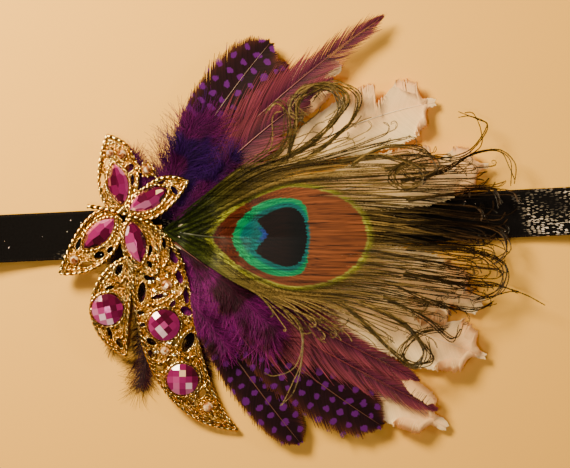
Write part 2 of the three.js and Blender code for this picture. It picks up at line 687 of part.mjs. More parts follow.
// A cut stone: a straight girdle, a crown in two rows of facets, and a flat table.
function cutStone(row, outline, height) {
  const seat = PLATE_THICKNESS + STONE_CLEARANCE;
  const levels = [
    { size: 1, rise: 0 },
    { size: 1, rise: 0.34 },
    { size: 0.76, rise: 0.78 },
    { size: 0.42, rise: 1 },
  ];
  const rings = levels.map(({ size, rise }, level) => {
    const shifted = outline.map((point, index) => {
      const next = outline[(index + 1) % outline.length];
      return level === 2 ? point.clone().add(next).multiplyScalar(0.5) : point;
    });
    return placed(shifted.map((point) => point.clone().multiplyScalar(size)), row)
      .map((point) => new THREE.Vector3(point.x, point.y, seat + rise * height));
  });
  return domed(loft(rings));
}

const trim = new THREE.Group();
trim.position.set(HUB_X, 0, 0);
trim.rotation.z = THREE.MathUtils.degToRad(TRIM_TURN);
trim.add(piece("brooch_bar", barGeometry(), GOLD));
FEATHERS.forEach((row) => trim.add(singleFeather(row)));
FLUFFS.forEach((row) => trim.add(fluff(row)));
trim.add(peacock());
trim.add(broochFrame());
MARQUISES.forEach((row) => trim.add(piece(row.name, cutStone(row, marquiseOutline(0), STONE_HEIGHT), AMETHYST)));
ROUNDS.forEach((row) => {
  const outline = ellipse(ROUND_DIAMETER, ROUND_DIAMETER, 12);
  trim.add(piece(row.name, cutStone(row, outline, STONE_HEIGHT), AMETHYST));
});
CHATONS.forEach((row) => {
  trim.add(piece(row.name, cutStone(row, ellipse(row.across, row.across, 8), CHATON_HEIGHT), BLUSH));
});

const headband = new THREE.Group();
headband.add(piece("stretch_band", bandGeometry(), VELVET));
headband.add(trim);

export default headband;
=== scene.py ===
import math
import random

import bmesh
import bpy
from mathutils import Matrix, Vector, noise


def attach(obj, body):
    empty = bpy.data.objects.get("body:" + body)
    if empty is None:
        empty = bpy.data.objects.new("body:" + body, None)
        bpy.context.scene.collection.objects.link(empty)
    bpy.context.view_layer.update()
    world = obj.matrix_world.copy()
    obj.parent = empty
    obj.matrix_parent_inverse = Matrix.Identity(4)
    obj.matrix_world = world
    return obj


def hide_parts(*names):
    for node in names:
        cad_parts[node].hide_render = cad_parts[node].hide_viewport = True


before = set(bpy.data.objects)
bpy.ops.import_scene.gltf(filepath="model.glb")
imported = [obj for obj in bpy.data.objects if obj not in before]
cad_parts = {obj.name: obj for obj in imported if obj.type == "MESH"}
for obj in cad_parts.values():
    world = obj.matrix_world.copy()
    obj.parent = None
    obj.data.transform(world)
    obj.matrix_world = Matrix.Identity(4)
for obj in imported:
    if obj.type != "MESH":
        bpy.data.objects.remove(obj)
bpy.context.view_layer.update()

# The table, the lamps and the camera. The headband lies on a plain pale table and is seen from straight
# above. A wide soft lamp stands up and to the left, and small ones give metal and stones their sparkle.
MM = 0.001
HUB_X = -42
TRIM_TURN = math.radians(-2.8)
VIEW_CENTRE = (41.7, -1.0)
VIEW_WIDTH = 190
VIEW_HEIGHT = 700
VIEW_PLANE = 6
TABLE_SIZE = 8
TABLE_COLOUR = (0.84, 0.42, 0.05)
ROOM_COLOUR = (1.0, 0.68, 0.28)
ROOM_STRENGTH = 0.1
LAMPS = [
    {"name": "soft_lamp", "at": (-0.24, 0.26, 0.33), "size": 0.16, "watts": 6.8,
     "colour": (1.0, 0.88, 0.56)},
    {"name": "side_lamp", "at": (0.5, 0.1, 0.35), "size": 0.1, "watts": 0.9,
     "colour": (1.0, 0.86, 0.68)},
    {"name": "spark_lamp", "at": (-0.08, -0.06, 0.6), "size": 0.03, "watts": 0.9,
     "colour": (1.0, 0.95, 0.86)},
]


def on_trim(x, y, z):
    """A place in millimetres from the trim's hub, as a point of the object in metres."""
    cosine, sine = math.cos(TRIM_TURN), math.sin(TRIM_TURN)
    return Vector((HUB_X + x * cosine - y * sine, x * sine + y * cosine, z)) * MM


def finished(name, bm, *materials):
    """An object at the origin that takes over a bmesh."""
    mesh = bpy.data.meshes.new(name)
    bm.to_mesh(mesh)
    bm.free()
    for material in materials:
        mesh.materials.append(material)
    piece = bpy.data.objects.new(name, mesh)
    bpy.context.scene.collection.objects.link(piece)
    return piece


def new_finish(name, colour, roughness, metallic=0.0):
    material = bpy.data.materials.new(name)
    material.use_nodes = True
    shader = material.node_tree.nodes["Principled BSDF"]
    shader.inputs["Base Color"].default_value = (*colour, 1)
    shader.inputs["Roughness"].default_value = roughness
    shader.inputs["Metallic"].default_value = metallic
    return material, shader


def aim(thing, target):
    thing.rotation_euler = (target - thing.location).to_track_quat("-Z", "Y").to_euler()


table_mesh = bmesh.new()
bmesh.ops.create_grid(table_mesh, x_segments=1, y_segments=1, size=TABLE_SIZE / 2)
table_finish, _ = new_finish("table_top", TABLE_COLOUR, 0.75)
table_top = finished("table_top", table_mesh, table_finish)

for row in LAMPS:
    lamp_data = bpy.data.lights.new(row["name"], "AREA")
    lamp_data.shape = "DISK"
    lamp_data.size = row["size"]
    lamp_data.energy = row["watts"]
    lamp_data.color = row["colour"]
    lamp = bpy.data.objects.new(row["name"], lamp_data)
    lamp.location = row["at"]
    aim(lamp, Vector((0, 0, 0)))
    bpy.context.scene.collection.objects.link(lamp)

room = bpy.data.worlds.new("room")
room.use_nodes = True
room.node_tree.nodes["Background"].inputs["Color"].default_value = (*ROOM_COLOUR, 1)
room.node_tree.nodes["Background"].inputs["Strength"].default_value = ROOM_STRENGTH
bpy.context.scene.world = room

camera_data = bpy.data.cameras.new("camera")
camera_data.lens = camera_data.sensor_width * VIEW_HEIGHT / VIEW_WIDTH
camera = bpy.data.objects.new("camera", camera_data)
camera.location = on_trim(*VIEW_CENTRE, VIEW_PLANE + VIEW_HEIGHT)
camera.rotation_euler = (0, 0, TRIM_TURN)
bpy.context.scene.collection.objects.link(camera)
bpy.context.scene.camera = camera

# The stretch band: a loop of black elastic velvet ribbon, folded flat, with ribbed edges.
# Tiny silver points are fused to the pile, and silver threads run through it in short floats.
BAND_LENGTH = 540
BAND_WIDTH = 16
BAND_THICKNESS = 1.1
BAND_REST_GAP = 0.5
BAND_FOLD_HEIGHT = 9
BAND_RAMP = 55
BAND_COLUMNS = 12
VELVET_COLOUR = (0.0012, 0.0008, 0.001)
NAP_COLOUR = (0.006, 0.0045, 0.005)
EDGE_COLOUR = (0.012, 0.008, 0.007)
GLITTER_COLOUR = (0.95, 0.76, 0.62)
# Fused silver points lie all over the pile. Short woven silver floats lie in patches, and they grow denser
# towards the right end as painted glints. Each kind's cells are stretched along the ribbon, and a share
# of them stays bare.
POINTS = {"stretch": (1, 1, 1), "scale": 620.0, "radius": 0.09, "bare": 0.8}
FLOATS = {"stretch": (0.16, 1, 1), "scale": 4000.0, "radius": 0.38, "bare": 0.42}
FLOATS_PAINTED_GLINT_GROW = (66.0, 100.0)


def smooth_step(value):
    share = min(1, max(0, value))
    return share * share * (3 - 2 * share)


def band_line():
    """The middle line of the folded loop as x and z, from under its middle all the way round."""
    half = BAND_THICKNESS / 2
    radius = BAND_FOLD_HEIGHT / 2 - half
    low = BAND_THICKNESS + BAND_REST_GAP + half
    high = half + 2 * radius
    ramp_extra = (math.pi * (high - low)) ** 2 / (16 * BAND_RAMP)
    reach = (BAND_LENGTH - 2 * math.pi * radius - 2 * ramp_extra) / 4
    under = [(reach * step / 20, half) for step in range(20)]
    fold = [
        (reach + radius * math.sin(math.pi * step / 16), half + radius * (1 - math.cos(math.pi * step / 16)))
        for step in range(16)
    ]
    ramp = [
        (reach - BAND_RAMP * step / 16, high + (low - high) * smooth_step(step / 16)) for step in range(16)
    ]
    flat = [((reach - BAND_RAMP) * (1 - step / 16), low) for step in range(17)]
    right = under + fold + ramp + flat
    return right + [(-x, z) for x, z in reversed(right[:-1])]


def place_node(tree, kind, inputs=None, **settings):
    """A shader node with its settings. An input is a value or another node's output."""
    node = tree.nodes.new(kind)
    for name, value in settings.items():
        setattr(node, name, value)
    for name, value in (inputs or {}).items():
        if isinstance(value, bpy.types.NodeSocket):
            tree.links.new(value, node.inputs[name])
        else:
            node.inputs[name].default_value = value
    return node


def maths(tree, operation, *values):
    keys = range(len(values))
    return place_node(tree, "ShaderNodeMath", dict(zip(keys, values)), operation=operation).outputs[0]


def mixed(tree, factor, first, second):
    """Two colours mixed by a factor."""
    node = tree.nodes.new("ShaderNodeMix")
    node.data_type = "RGBA"
    for index, value in ((0, factor), (6, first), (7, second)):
        if isinstance(value, bpy.types.NodeSocket):
            tree.links.new(value, node.inputs[index])
        elif index:
            node.inputs[index].default_value = (*value, 1)
        else:
            node.inputs[index].default_value = value
    return node.outputs[2]


def eased(tree, value, low, high):
    """0 below low, 1 above high, and a soft step between them."""
    limits = {0: value, 1: low, 2: high}
    return place_node(tree, "ShaderNodeMapRange", limits, interpolation_type="SMOOTHSTEP").outputs[0]


def cloudy(tree, place, scale, detail=2.0):
    """A soft random pattern over a place."""
    settings = {"Vector": place, "Scale": scale, "Detail": detail}
    return place_node(tree, "ShaderNodeTexNoise", settings).outputs[0]


def velvet_ribbon():
    line = band_line()
    bm = bmesh.new()
    bmesh.ops.create_grid(bm, x_segments=len(line) - 1, y_segments=BAND_COLUMNS, size=1)
    cloth = bm.loops.layers.uv.new("cloth")
    travelled = [0]
    for before, after in zip(line, line[1:]):
        travelled.append(travelled[-1] + math.dist(before, after))
    for vertex in bm.verts:
        column, step = divmod(vertex.index, len(line))
        across = BAND_WIDTH * (column / BAND_COLUMNS - 0.5)
        x, z = line[step]
        for loop in vertex.link_loops:
            loop[cloth].uv = (travelled[step] * MM, across * MM)
        vertex.co = Vector((x, across, z)) * MM
    bmesh.ops.remove_doubles(bm, verts=bm.verts, dist=0.01 * MM)
    bmesh.ops.reverse_faces(bm, faces=bm.faces)
    for face in bm.faces:
        face.smooth = True
    return bm


def silver(tree, cloth, kind):
    """Where the pile carries silver of one kind."""
    turned = place_node(tree, "ShaderNodeMapping", {"Vector": cloth, "Scale": kind["stretch"]}).outputs[0]
    cells = place_node(tree, "ShaderNodeTexVoronoi", {"Vector": turned, "Scale": kind["scale"]})
    chosen = place_node(tree, "ShaderNodeSeparateColor", {0: cells.outputs["Color"]}).outputs[0]
    spot = maths(tree, "LESS_THAN", cells.outputs["Distance"], kind["radius"])
    return maths(tree, "MULTIPLY", spot, maths(tree, "GREATER_THAN", chosen, kind["bare"]))


def velvet():
    material, shader = new_finish("velvet", VELVET_COLOUR, 0.85)
    tree = material.node_tree
    cloth = place_node(tree, "ShaderNodeUVMap", uv_map="cloth").outputs[0]
    place = place_node(tree, "ShaderNodeSeparateXYZ", {0: cloth})
    nap = cloudy(tree, cloth, 1400.0, 3.0)
    colour = mixed(tree, maths(tree, "MULTIPLY", nap, 0.7), VELVET_COLOUR, NAP_COLOUR)
    edge = eased(tree, maths(tree, "ABSOLUTE", place.outputs[1]), 7.0 * MM, 7.5 * MM)
    ribs = maths(tree, "SINE", maths(tree, "MULTIPLY", place.outputs[0], 2 * math.pi / (0.55 * MM)))
    ribbed = maths(tree, "MULTIPLY", edge, maths(tree, "GREATER_THAN", ribs, 0.1))
    colour = mixed(tree, ribbed, colour, EDGE_COLOUR)
    world_place = place_node(tree, "ShaderNodeTexCoord").outputs["Object"]
    along = place_node(tree, "ShaderNodeSeparateXYZ", {0: world_place}).outputs[0]
    # Towards the right end the silver floats grow denser: painted glints where the light catches the band.
    painted_glint_gather = maths(tree, "MULTIPLY", 0.4, eased(tree, along, *(end * MM for end in FLOATS_PAINTED_GLINT_GROW)))
    shine = maths(tree, "ADD", maths(tree, "MULTIPLY", cloudy(tree, cloth, 60.0, 1.0), 0.85), painted_glint_gather)
    floats = maths(tree, "MULTIPLY", silver(tree, cloth, FLOATS), eased(tree, shine, 0.58, 0.86))
    glitter = maths(tree, "MAXIMUM", silver(tree, cloth, POINTS), floats)
    tree.links.new(mixed(tree, glitter, colour, GLITTER_COLOUR), shader.inputs["Base Color"])
    roughness = maths(tree, "SUBTRACT", 0.85, maths(tree, "MULTIPLY", glitter, 0.55))
    tree.links.new(roughness, shader.inputs["Roughness"])
    tree.links.new(maths(tree, "MULTIPLY", glitter, 0.7), shader.inputs["Metallic"])
    relief = maths(tree, "ADD", nap, maths(tree, "MULTIPLY", maths(tree, "MULTIPLY", edge, ribs), 0.6))
    bump = place_node(tree, "ShaderNodeBump", {"Height": relief, "Strength": 0.6, "Distance": 0.15 * MM})
    tree.links.new(bump.outputs[0], shader.inputs["Normal"])
    shader.inputs["Specular IOR Level"].default_value = 0.06
    return material


velvet_finish = velvet()
band = finished("velvet_band", velvet_ribbon(), velvet_finish)
wall = band.modifiers.new("wall", "SOLIDIFY")
wall.thickness = BAND_THICKNESS * MM
wall.offset = 0
round_edge = band.modifiers.new("round_edge", "BEVEL")
round_edge.width = 0.35 * MM
round_edge.segments = 2
round_edge.limit_method = "ANGLE"
round_edge.angle_limit = math.radians(60)
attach(band, "root")
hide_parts("stretch_band")

# The single feathers lie on the band in layers, quills inwards: ivory goose feathers undermost, then
# guinea feathers and hackles. Each has a round shaft, and separate barbs that leave it at a slant.
QUILL_SEAT = 3.0
QUILL_STEP = 0.8
LAYER_STEP = 0.8
DROOP_AT_REACH = 1
REACH = 100
QUILL_START = 6.2
FEATHER_THICKNESS = 0.5
FEATHERS = [
    {"name": "goose_1", "node": "goose_feather_1", "kind": "goose", "turn": 32, "bend": (58, 38),
     "tip": (92, 43), "half": 11, "layer": 1},
    {"name": "goose_2", "node": "goose_feather_2", "kind": "goose", "turn": 53, "bend": (33, 38),
     "tip": (60, 56), "half": 8, "layer": 2},
    {"name": "goose_3", "node": "goose_feather_3", "kind": "goose", "turn": 16, "bend": (60, 15),
     "tip": (110, 22), "half": 10, "layer": 2},
    {"name": "goose_4", "node": "goose_feather_4", "kind": "goose", "turn": -18, "bend": (60, -12),
     "tip": (108, -24), "half": 12, "layer": 1},
    {"name": "goose_5", "node": "goose_feather_5", "kind": "goose", "turn": -27, "bend": (62, -25),
     "tip": (109, -42), "half": 11, "layer": 2},
    {"name": "goose_6", "node": "goose_feather_6", "kind": "goose", "turn": -45, "bend": (56, -42),
     "tip": (96, -66), "half": 9, "layer": 1},
    {"name": "guinea_1", "node": "guinea_feather_1", "kind": "guinea", "turn": 85, "bend": (12.5, 34),
     "tip": (37, 63), "half": 11, "layer": 4},
    {"name": "guinea_2", "node": "guinea_feather_2", "kind": "guinea", "turn": 73, "bend": (18, 33),
     "tip": (42.5, 56), "half": 7, "layer": 3},
    {"name": "guinea_3", "node": "guinea_feather_3", "kind": "guinea", "turn": -63, "bend": (32, -38),
     "tip": (74, -65), "half": 11.5, "layer": 4},
    {"name": "guinea_4", "node": "guinea_feather_4", "kind": "guinea", "turn": -73, "bend": (20, -38),
     "tip": (47, -71), "half": 8, "layer": 3},
    {"name": "hackle_1", "node": "hackle_feather_1", "kind": "hackle", "turn": 62, "bend": (27, 38),
     "tip": (75, 72), "half": 9, "layer": 5},
    {"name": "hackle_2", "node": "hackle_feather_2", "kind": "hackle", "turn": 43, "bend": (27, 30),
     "tip": (58, 51), "half": 8.5, "layer": 6},
    {"name": "hackle_3", "node": "hackle_feather_3", "kind": "hackle", "turn": -36, "bend": (38, -26),
     "tip": (87, -50), "half": 9.5, "layer": 6},
    {"name": "hackle_4", "node": "hackle_feather_4", "kind": "hackle", "turn": -54, "bend": (37, -33),
     "tip": (93, -60), "half": 11, "layer": 5},
]
VANES = {
    "goose": [(0, 0.03), (0.3, 0.05), (0.45, 0.55), (0.65, 0.95), (0.8, 1), (0.9, 0.86), (0.96, 0.6),
              (1, 0.12)],
    "guinea": [(0, 0.03), (0.3, 0.08), (0.42, 0.75), (0.6, 1), (0.8, 1), (0.9, 0.86), (0.96, 0.6),
               (1, 0.12)],
    "hackle": [(0, 0.03), (0.24, 0.1), (0.36, 0.9), (0.5, 1), (0.68, 0.6), (0.85, 0.38), (0.95, 0.28),
               (1, 0.02)],
}
# How each kind's barbs grow: their spacing in millimetres, how far they lean forward for each step
# outwards, how wide they are at root and tip, how uneven they are, how strongly they part into locks,
# and how many steps each has.
HABITS = {
    "goose": {"from": 0.3, "spacing": 0.4, "lean": 1.0, "root": 0.62, "tip": 0.34, "ragged": 0.03,
              "locks": 0.25, "steps": 12},
    "guinea": {"from": 0.26, "spacing": 0.34, "lean": 1.0, "root": 0.5, "tip": 0.12, "ragged": 0.07,
               "locks": 0.2, "steps": 10},
    "hackle": {"from": 0.18, "spacing": 0.3, "lean": 1.9, "root": 0.22, "tip": 0.06, "ragged": 0.2,
               "locks": 1, "steps": 8},
}
ROLL_TURN = 215
ROLL_SLANT = 40
NOTCH_REACH = 0.045
NOTCH_DEPTH = 0.6
# Where a goose feather's edge has been drawn over a blade so that it rolls up and back: the side, the
# shares of the feather's length between which it does so, and the radius of the roll in millimetres.
# A notch ends each curl, and parts the vane into lobes.
CURLS = {
    "goose_1": [(1, 0.6, 0.78, 3.2), (1, 0.8, 0.96, 2.6), (-1, 0.84, 0.97, 2.0)],
    "goose_2": [(-1, 0.66, 0.93, 2.6)],
    "goose_3": [(1, 0.66, 0.84, 2.8), (1, 0.86, 0.98, 2.4), (-1, 0.84, 0.98, 2.4)],
    "goose_4": [(1, 0.8, 0.96, 2.8), (-1, 0.74, 0.92, 2.4)],
    "goose_5": [(1, 0.66, 0.82, 2.8), (1, 0.85, 0.98, 2.8), (-1, 0.82, 0.97, 3.0)],
    "goose_6": [(1, 0.72, 0.95, 3.2), (-1, 0.8, 0.96, 3.0)],
}
SHAFT_RADIUS = 0.42
SHAFT_COLOURS = {"goose": (0.8, 0.62, 0.42), "guinea": (0.1, 0.035, 0.02), "hackle": (0.14, 0.02, 0.02)}


def rest_height(x, y, layer, base):
    """The height of a layer's underside at a place on the trim, as the solids have it."""
    radius = math.hypot(x, y)
    crossing = smooth_step((radius - 7) / 4)
    climb = smooth_step((radius - 19) / 13)
    droop = DROOP_AT_REACH * (radius / REACH) ** 2
    return QUILL_SEAT + base * QUILL_STEP * crossing + layer * LAYER_STEP * climb - droop


def between(rows, share):
    """A value read off a table of shares and values."""
    for (low, first), (high, second) in zip(rows, rows[1:]):
        if share <= high:
            return first + (second - first) * (share - low) / (high - low)
    return rows[-1][1]


class Shaft:
    """A bent line from a feather's quill to its tip, measured in shares of its length."""

    def __init__(self, start, bend, tip):
        self.points = [Vector(start), Vector(bend), Vector(tip)]
        self.length = sum((self.at(step / 16) - self.at((step - 1) / 16)).length for step in range(1, 17))

    def at(self, share):
        start, bend, tip = self.points
        inside = min(share, 1)
        point = start * (1 - inside) ** 2 + bend * 2 * inside * (1 - inside) + tip * inside ** 2
        if share > 1:
            point += self.heading(1) * (share - 1) * self.length
        return point

    def heading(self, share):
        start, bend, tip = self.points
        inside = min(share, 1)
        return ((bend - start) * (1 - inside) + (tip - bend) * inside).normalized()

    def beside(self, share, out):
        """The point a distance to the left of the line."""
        heading = self.heading(share)
        return self.at(share) + Vector((-heading.y, heading.x)) * out


def ribbons(count, steps):
    """Separate flat ribbons: a grid with every second row of faces taken out."""
    bm = bmesh.new()
    bmesh.ops.create_grid(bm, x_segments=steps, y_segments=2 * count - 1, size=1)
    gaps = [face for index, face in enumerate(bm.faces) if (index // steps) % 2]
    bmesh.ops.delete(bm, geom=gaps, context="FACES")
    bm.verts.ensure_lookup_table()
    return bm


def lay_ribbons(paths, steps, lucks=None):
    """Ribbons laid along paths. A path is a list of (left edge, right edge, vane place) for each step.
    The first UV map runs along and across a ribbon, and the second over the vane. Each ribbon has its own
    chance value, or the given one."""
    bm = ribbons(len(paths), steps)
    barb = bm.loops.layers.uv.new("barb")
    vane = bm.loops.layers.uv.new("vane")
    chance = bm.verts.layers.float.new("chance")
    draw = random.Random(len(paths))
    for number, path in enumerate(paths):
        luck = lucks[number] if lucks else draw.random()
        for side in (0, 1):
            for step, (left, right, spot) in enumerate(path):
                vertex = bm.verts[(2 * number + side) * (steps + 1) + step]
                vertex.co = left if side else right
                vertex[chance] = luck
                for loop in vertex.link_loops:
                    loop[barb].uv = (step / steps, side)
                    loop[vane].uv = spot
    for face in bm.faces:
        face.smooth = True
    return bm


def ribbon_row(point, across, width, lift, tilt, spot):
    """One cross row of a ribbon: its left and right edge, tilted about its middle."""
    side = across * width / 2
    left = on_trim(point.x + side.x, point.y + side.y, lift + tilt * width / 2)
    right = on_trim(point.x - side.x, point.y - side.y, lift - tilt * width / 2)
    return left, right, spot


def tube(points, radius_at, sides=6, ring=False):
    """A tube along points in metres, with closed ends or joined into a ring. radius_at gives the radius
    for a step and an angle."""
    bm = bmesh.new()
    bmesh.ops.create_grid(bm, x_segments=len(points) - 1, y_segments=sides, size=1)
    relief = bm.verts.layers.float.new("relief")
    last = len(points) - 1
    for vertex in bm.verts:
        side, step = divmod(vertex.index, len(points))
        before, after = max(0, step - 1), min(last, step + 1)
        if ring and step in (0, last):
            before, after = last - 1, 1
        heading = (points[after] - points[before]).normalized()
        level = heading.cross(Vector((0, 0, 1))).normalized()
        angle = 2 * math.pi * side / sides
        spoke = level * math.cos(angle) + level.cross(heading) * math.sin(angle)
        vertex[relief] = radius_at(step, angle)
        vertex.co = points[step] + spoke * vertex[relief]
    bmesh.ops.remove_doubles(bm, verts=bm.verts, dist=1e-6)
    bmesh.ops.holes_fill(bm, edges=[edge for edge in bm.edges if edge.is_boundary], sides=0)
    bmesh.ops.recalc_face_normals(bm, faces=bm.faces)
    for face in bm.faces:
        face.smooth = True
    return bm


def joined(parts, alike=False):
    """Several bmeshes made into one. Each part's faces take its number as their material, unless all
    parts are alike."""
    whole = bmesh.new()
    for number, part in enumerate(parts):
        for face in part.faces:
            face.material_index = 0 if alike else number
        mesh = bpy.data.meshes.new("part")
        part.to_mesh(mesh)
        part.free()
        whole.from_mesh(mesh)
        bpy.data.meshes.remove(mesh)
    return whole


def barb_end(table, half, share, lean, length):
    """How far out a barb reaches when it leaves the shaft at a share of its length."""
    low, high = share, 1
    for _ in range(12):
        end = (low + high) / 2
        if share + half * between(table, end) * lean / length > end:
            low = end
        else:
            high = end
    return half * between(table, end)


def roll_of(name, side, share):
    """The radius of the roll at a barb's end, which fades out at both ends of the curled stretch."""
    for curl_side, low, high, radius in CURLS.get(name, []):
        if curl_side == side and low < share < high:
            return radius * math.sin(math.pi * (share - low) / (high - low)) ** 0.6
    return 0


def notch_of(name, side, share):
    """How much shorter the barbs are where one curl ends and the vane splits into lobes."""
    ends = [high for curl_side, _, high, _ in CURLS.get(name, []) if curl_side == side]
    return NOTCH_DEPTH * max([0, *(1 - abs(share - end) / NOTCH_REACH for end in ends)])


def vane_barbs(row, shaft, habit, draw):
    """The barbs on both sides of a feather. Each leans forward, and neighbours keep together in locks."""
    table = VANES[row["kind"]]
    paths = []
    count = round(shaft.length * (1 - habit["from"]) / habit["spacing"])
    for side in (1, -1):
        for number in range(count):
            share = habit["from"] + (0.995 - habit["from"]) * number / count
            swing = noise.noise(Vector((share * 14, side * 3.7, row["layer"]))) * habit["locks"]
            lean = habit["lean"] * (1 + 0.35 * swing)
            out = barb_end(table, row["half"], share, lean, shaft.length)
            least = min(1.2, 0.25 * (1 - share) * shaft.length)
            out = max(least, out * (1 + habit["ragged"] * (2.4 * draw.random() ** 3 - 0.5) + 0.1 * swing))
            out *= 1 - notch_of(row["name"], side, share + out * lean * 0.6 / shaft.length)
            tilt = side * (0.2 + 0.15 * swing)
            roll = roll_of(row["name"], side, share + out * lean * 0.6 / shaft.length)
            flat = 1 - min(0.75, roll * 1.3 / max(1, math.hypot(out, out * lean)))
            rows = []
            for step in range(habit["steps"] + 1):
                along = step / habit["steps"]
                laid = min(along, flat) if roll else along
                forward = out * lean * laid ** 1.25
                away = out * laid ** 0.9
                spot_share = share + forward / shaft.length
                point = shaft.beside(spot_share, side * away)
                ahead = shaft.beside(spot_share + 0.01, side * (away + 0.01 * shaft.length / lean))
                heading = (ahead - point).normalized()
                width = habit["root"] + (habit["tip"] - habit["root"]) * smooth_step((along - 0.72) / 0.28)
                lift = rest_height(point.x, point.y, row["layer"], 0)
                lift += FEATHER_THICKNESS * (0.6 - 0.5 * along ** 2)
                lift += 0.12 * swing * along
                if roll and along > flat:
                    angle = math.radians(ROLL_TURN) * (along - flat) / (1 - flat)
                    slide = side * math.radians(ROLL_SLANT) * (along - flat) / (1 - flat)
                    swung = Matrix.Rotation(slide, 2) @ heading
                    point = point + swung * roll * math.sin(angle)
                    lift += 0.75 * roll * (1 - math.cos(angle))
                spot = (spot_share * shaft.length * MM, side * away * MM)
                across = Vector((-heading.y, heading.x))
                rows.append(ribbon_row(point, across, width, lift, tilt, spot))
            paths.append(rows)
    return lay_ribbons(paths, habit["steps"])


def shaft_tube(shaft, layer, base, radius, sides=6):
    """A feather's shaft, thick at the quill and drawn out to a hair at the tip."""
    steps = 24
    points = []
    for step in range(steps + 1):
        point = shaft.at(step / steps)
        points.append(on_trim(point.x, point.y, rest_height(point.x, point.y, layer, base) + 0.42))
    return tube(points, lambda step, angle: radius * MM * (1 - 0.85 * (step / steps)), sides)


def vane_shade():
    """Shared by all feathers: barbs darken towards their roots and differ a little from one another, and
    each barb is painted darker towards both its edges, as painted shade between barbs.
    """
    group = bpy.data.node_groups.new("vane_shade", "ShaderNodeTree")
    for label, kind in (("Root", "NodeSocketColor"), ("Tip", "NodeSocketColor"), ("Turn", "NodeSocketFloat"),
                        ("Uneven", "NodeSocketFloat")):
        group.interface.new_socket(name=label, in_out="INPUT", socket_type=kind)
    group.interface.new_socket(name="Colour", in_out="OUTPUT", socket_type="NodeSocketColor")
    given = group.nodes.new("NodeGroupInput").outputs
    barb = place_node(group, "ShaderNodeUVMap", uv_map="barb").outputs[0]
    along = place_node(group, "ShaderNodeSeparateXYZ", {0: barb}).outputs
    chance = place_node(group, "ShaderNodeAttribute", attribute_name="chance").outputs["Fac"]
    reach = maths(group, "POWER", along[0], given["Turn"])
    colour = mixed(group, reach, given["Root"], given["Tip"])
    spread = maths(group, "MULTIPLY", maths(group, "SUBTRACT", chance, 0.5), given["Uneven"])
    # Each barb is painted darker towards both its edges: painted shade between neighbouring barbs.
    edge = maths(group, "MULTIPLY", maths(group, "ABSOLUTE", maths(group, "SUBTRACT", along[1], 0.5)), -0.5)
    tone_and_painted_shade = maths(group, "ADD", maths(group, "ADD", 1.0, spread), edge)
    shaded = place_node(group, "ShaderNodeVectorMath", {0: colour, "Scale": tone_and_painted_shade}, operation="SCALE")
    group.links.new(shaded.outputs[0], group.nodes.new("NodeGroupOutput").inputs["Colour"])
    return group


VANE_SHADE = vane_shade()


def shaded_vane(tree, root, tip, turn, uneven):
    node = tree.nodes.new("ShaderNodeGroup")
    node.node_tree = VANE_SHADE
    node.inputs["Root"].default_value = (*root, 1)
    node.inputs["Tip"].default_value = (*tip, 1)
    node.inputs["Turn"].default_value = turn
    node.inputs["Uneven"].default_value = uneven
    return node.outputs["Colour"]


def guinea_dots(tree, ground):
    """Uneven rows of dyed dots, two millimetres across, which run together into bars near the quill."""
    vane = place_node(tree, "ShaderNodeUVMap", uv_map="vane").outputs[0]
    wander = place_node(tree, "ShaderNodeTexNoise", {"Vector": vane, "Scale": 190.0}).outputs[1]
    shift = place_node(tree, "ShaderNodeVectorMath", {0: wander, 1: (0.003, 0.003, 0)}, operation="MULTIPLY")
    moved = place_node(tree, "ShaderNodeVectorMath", {0: vane, 1: shift.outputs[0]}, operation="ADD")
    place = place_node(tree, "ShaderNodeSeparateXYZ", {0: moved.outputs[0]}).outputs
    chance = place_node(tree, "ShaderNodeAttribute", attribute_name="chance").outputs["Fac"]
    slip = maths(tree, "MULTIPLY", maths(tree, "SUBTRACT", chance, 0.5), 0.4 * MM)
    slipped = maths(tree, "ADD", place[0], slip)
    row_number = maths(tree, "FLOOR", maths(tree, "DIVIDE", slipped, 4.4 * MM))
    odd = maths(tree, "MULTIPLY", maths(tree, "MODULO", row_number, 2.0), 0.5)
    along = maths(tree, "SUBTRACT", maths(tree, "FRACT", maths(tree, "DIVIDE", slipped, 4.4 * MM)), 0.5)
    steps = maths(tree, "ADD", maths(tree, "ADD", maths(tree, "DIVIDE", place[1], 4.2 * MM), odd), 20.0)
    across = maths(tree, "SUBTRACT", maths(tree, "FRACT", steps), 0.5)
    joined_up = eased(tree, place[0], 46.0 * MM, 36.0 * MM)
    stretch = maths(tree, "SUBTRACT", 0.95, maths(tree, "MULTIPLY", joined_up, 0.5))
    long_way = maths(tree, "POWER", maths(tree, "MULTIPLY", along, 1.2), 2.0)
    short_way = maths(tree, "POWER", maths(tree, "MULTIPLY", across, stretch), 2.0)
    far = maths(tree, "SQRT", maths(tree, "ADD", long_way, short_way))
    size = cloudy(tree, vane, 330.0)
    dots = eased(tree, maths(tree, "SUBTRACT", far, maths(tree, "MULTIPLY", size, 0.24)), 0.18, 0.10)
    return mixed(tree, maths(tree, "MULTIPLY", dots, 0.9), ground, GUINEA_DOT)


# The darker orange that the turned-over undersides of the goose curls take: painted shade inside the rolls.
GOOSE_PAINTED_ROLL_SHADE = (0.98, 0.56, 0.25)
GUINEA_ROOT = (0.011, 0.0025, 0.005)
GUINEA_TIP = (0.10, 0.024, 0.012)
GUINEA_DOT = (0.080, 0.006, 0.130)
BARB_FINISHES = {
    "goose": {"root": (1.0, 0.62, 0.29), "tip": (1.0, 0.74, 0.41), "turn": 1.0, "uneven": 0.08,
              "gloss": 0.3},
    "guinea": {"root": GUINEA_ROOT, "tip": GUINEA_TIP, "turn": 6.0, "uneven": 0.5, "gloss": 0.1},
    "hackle": {"root": (0.032, 0.001, 0.018), "tip": (0.17, 0.027, 0.042), "turn": 0.9, "uneven": 1.2,
               "gloss": 0.2},
}


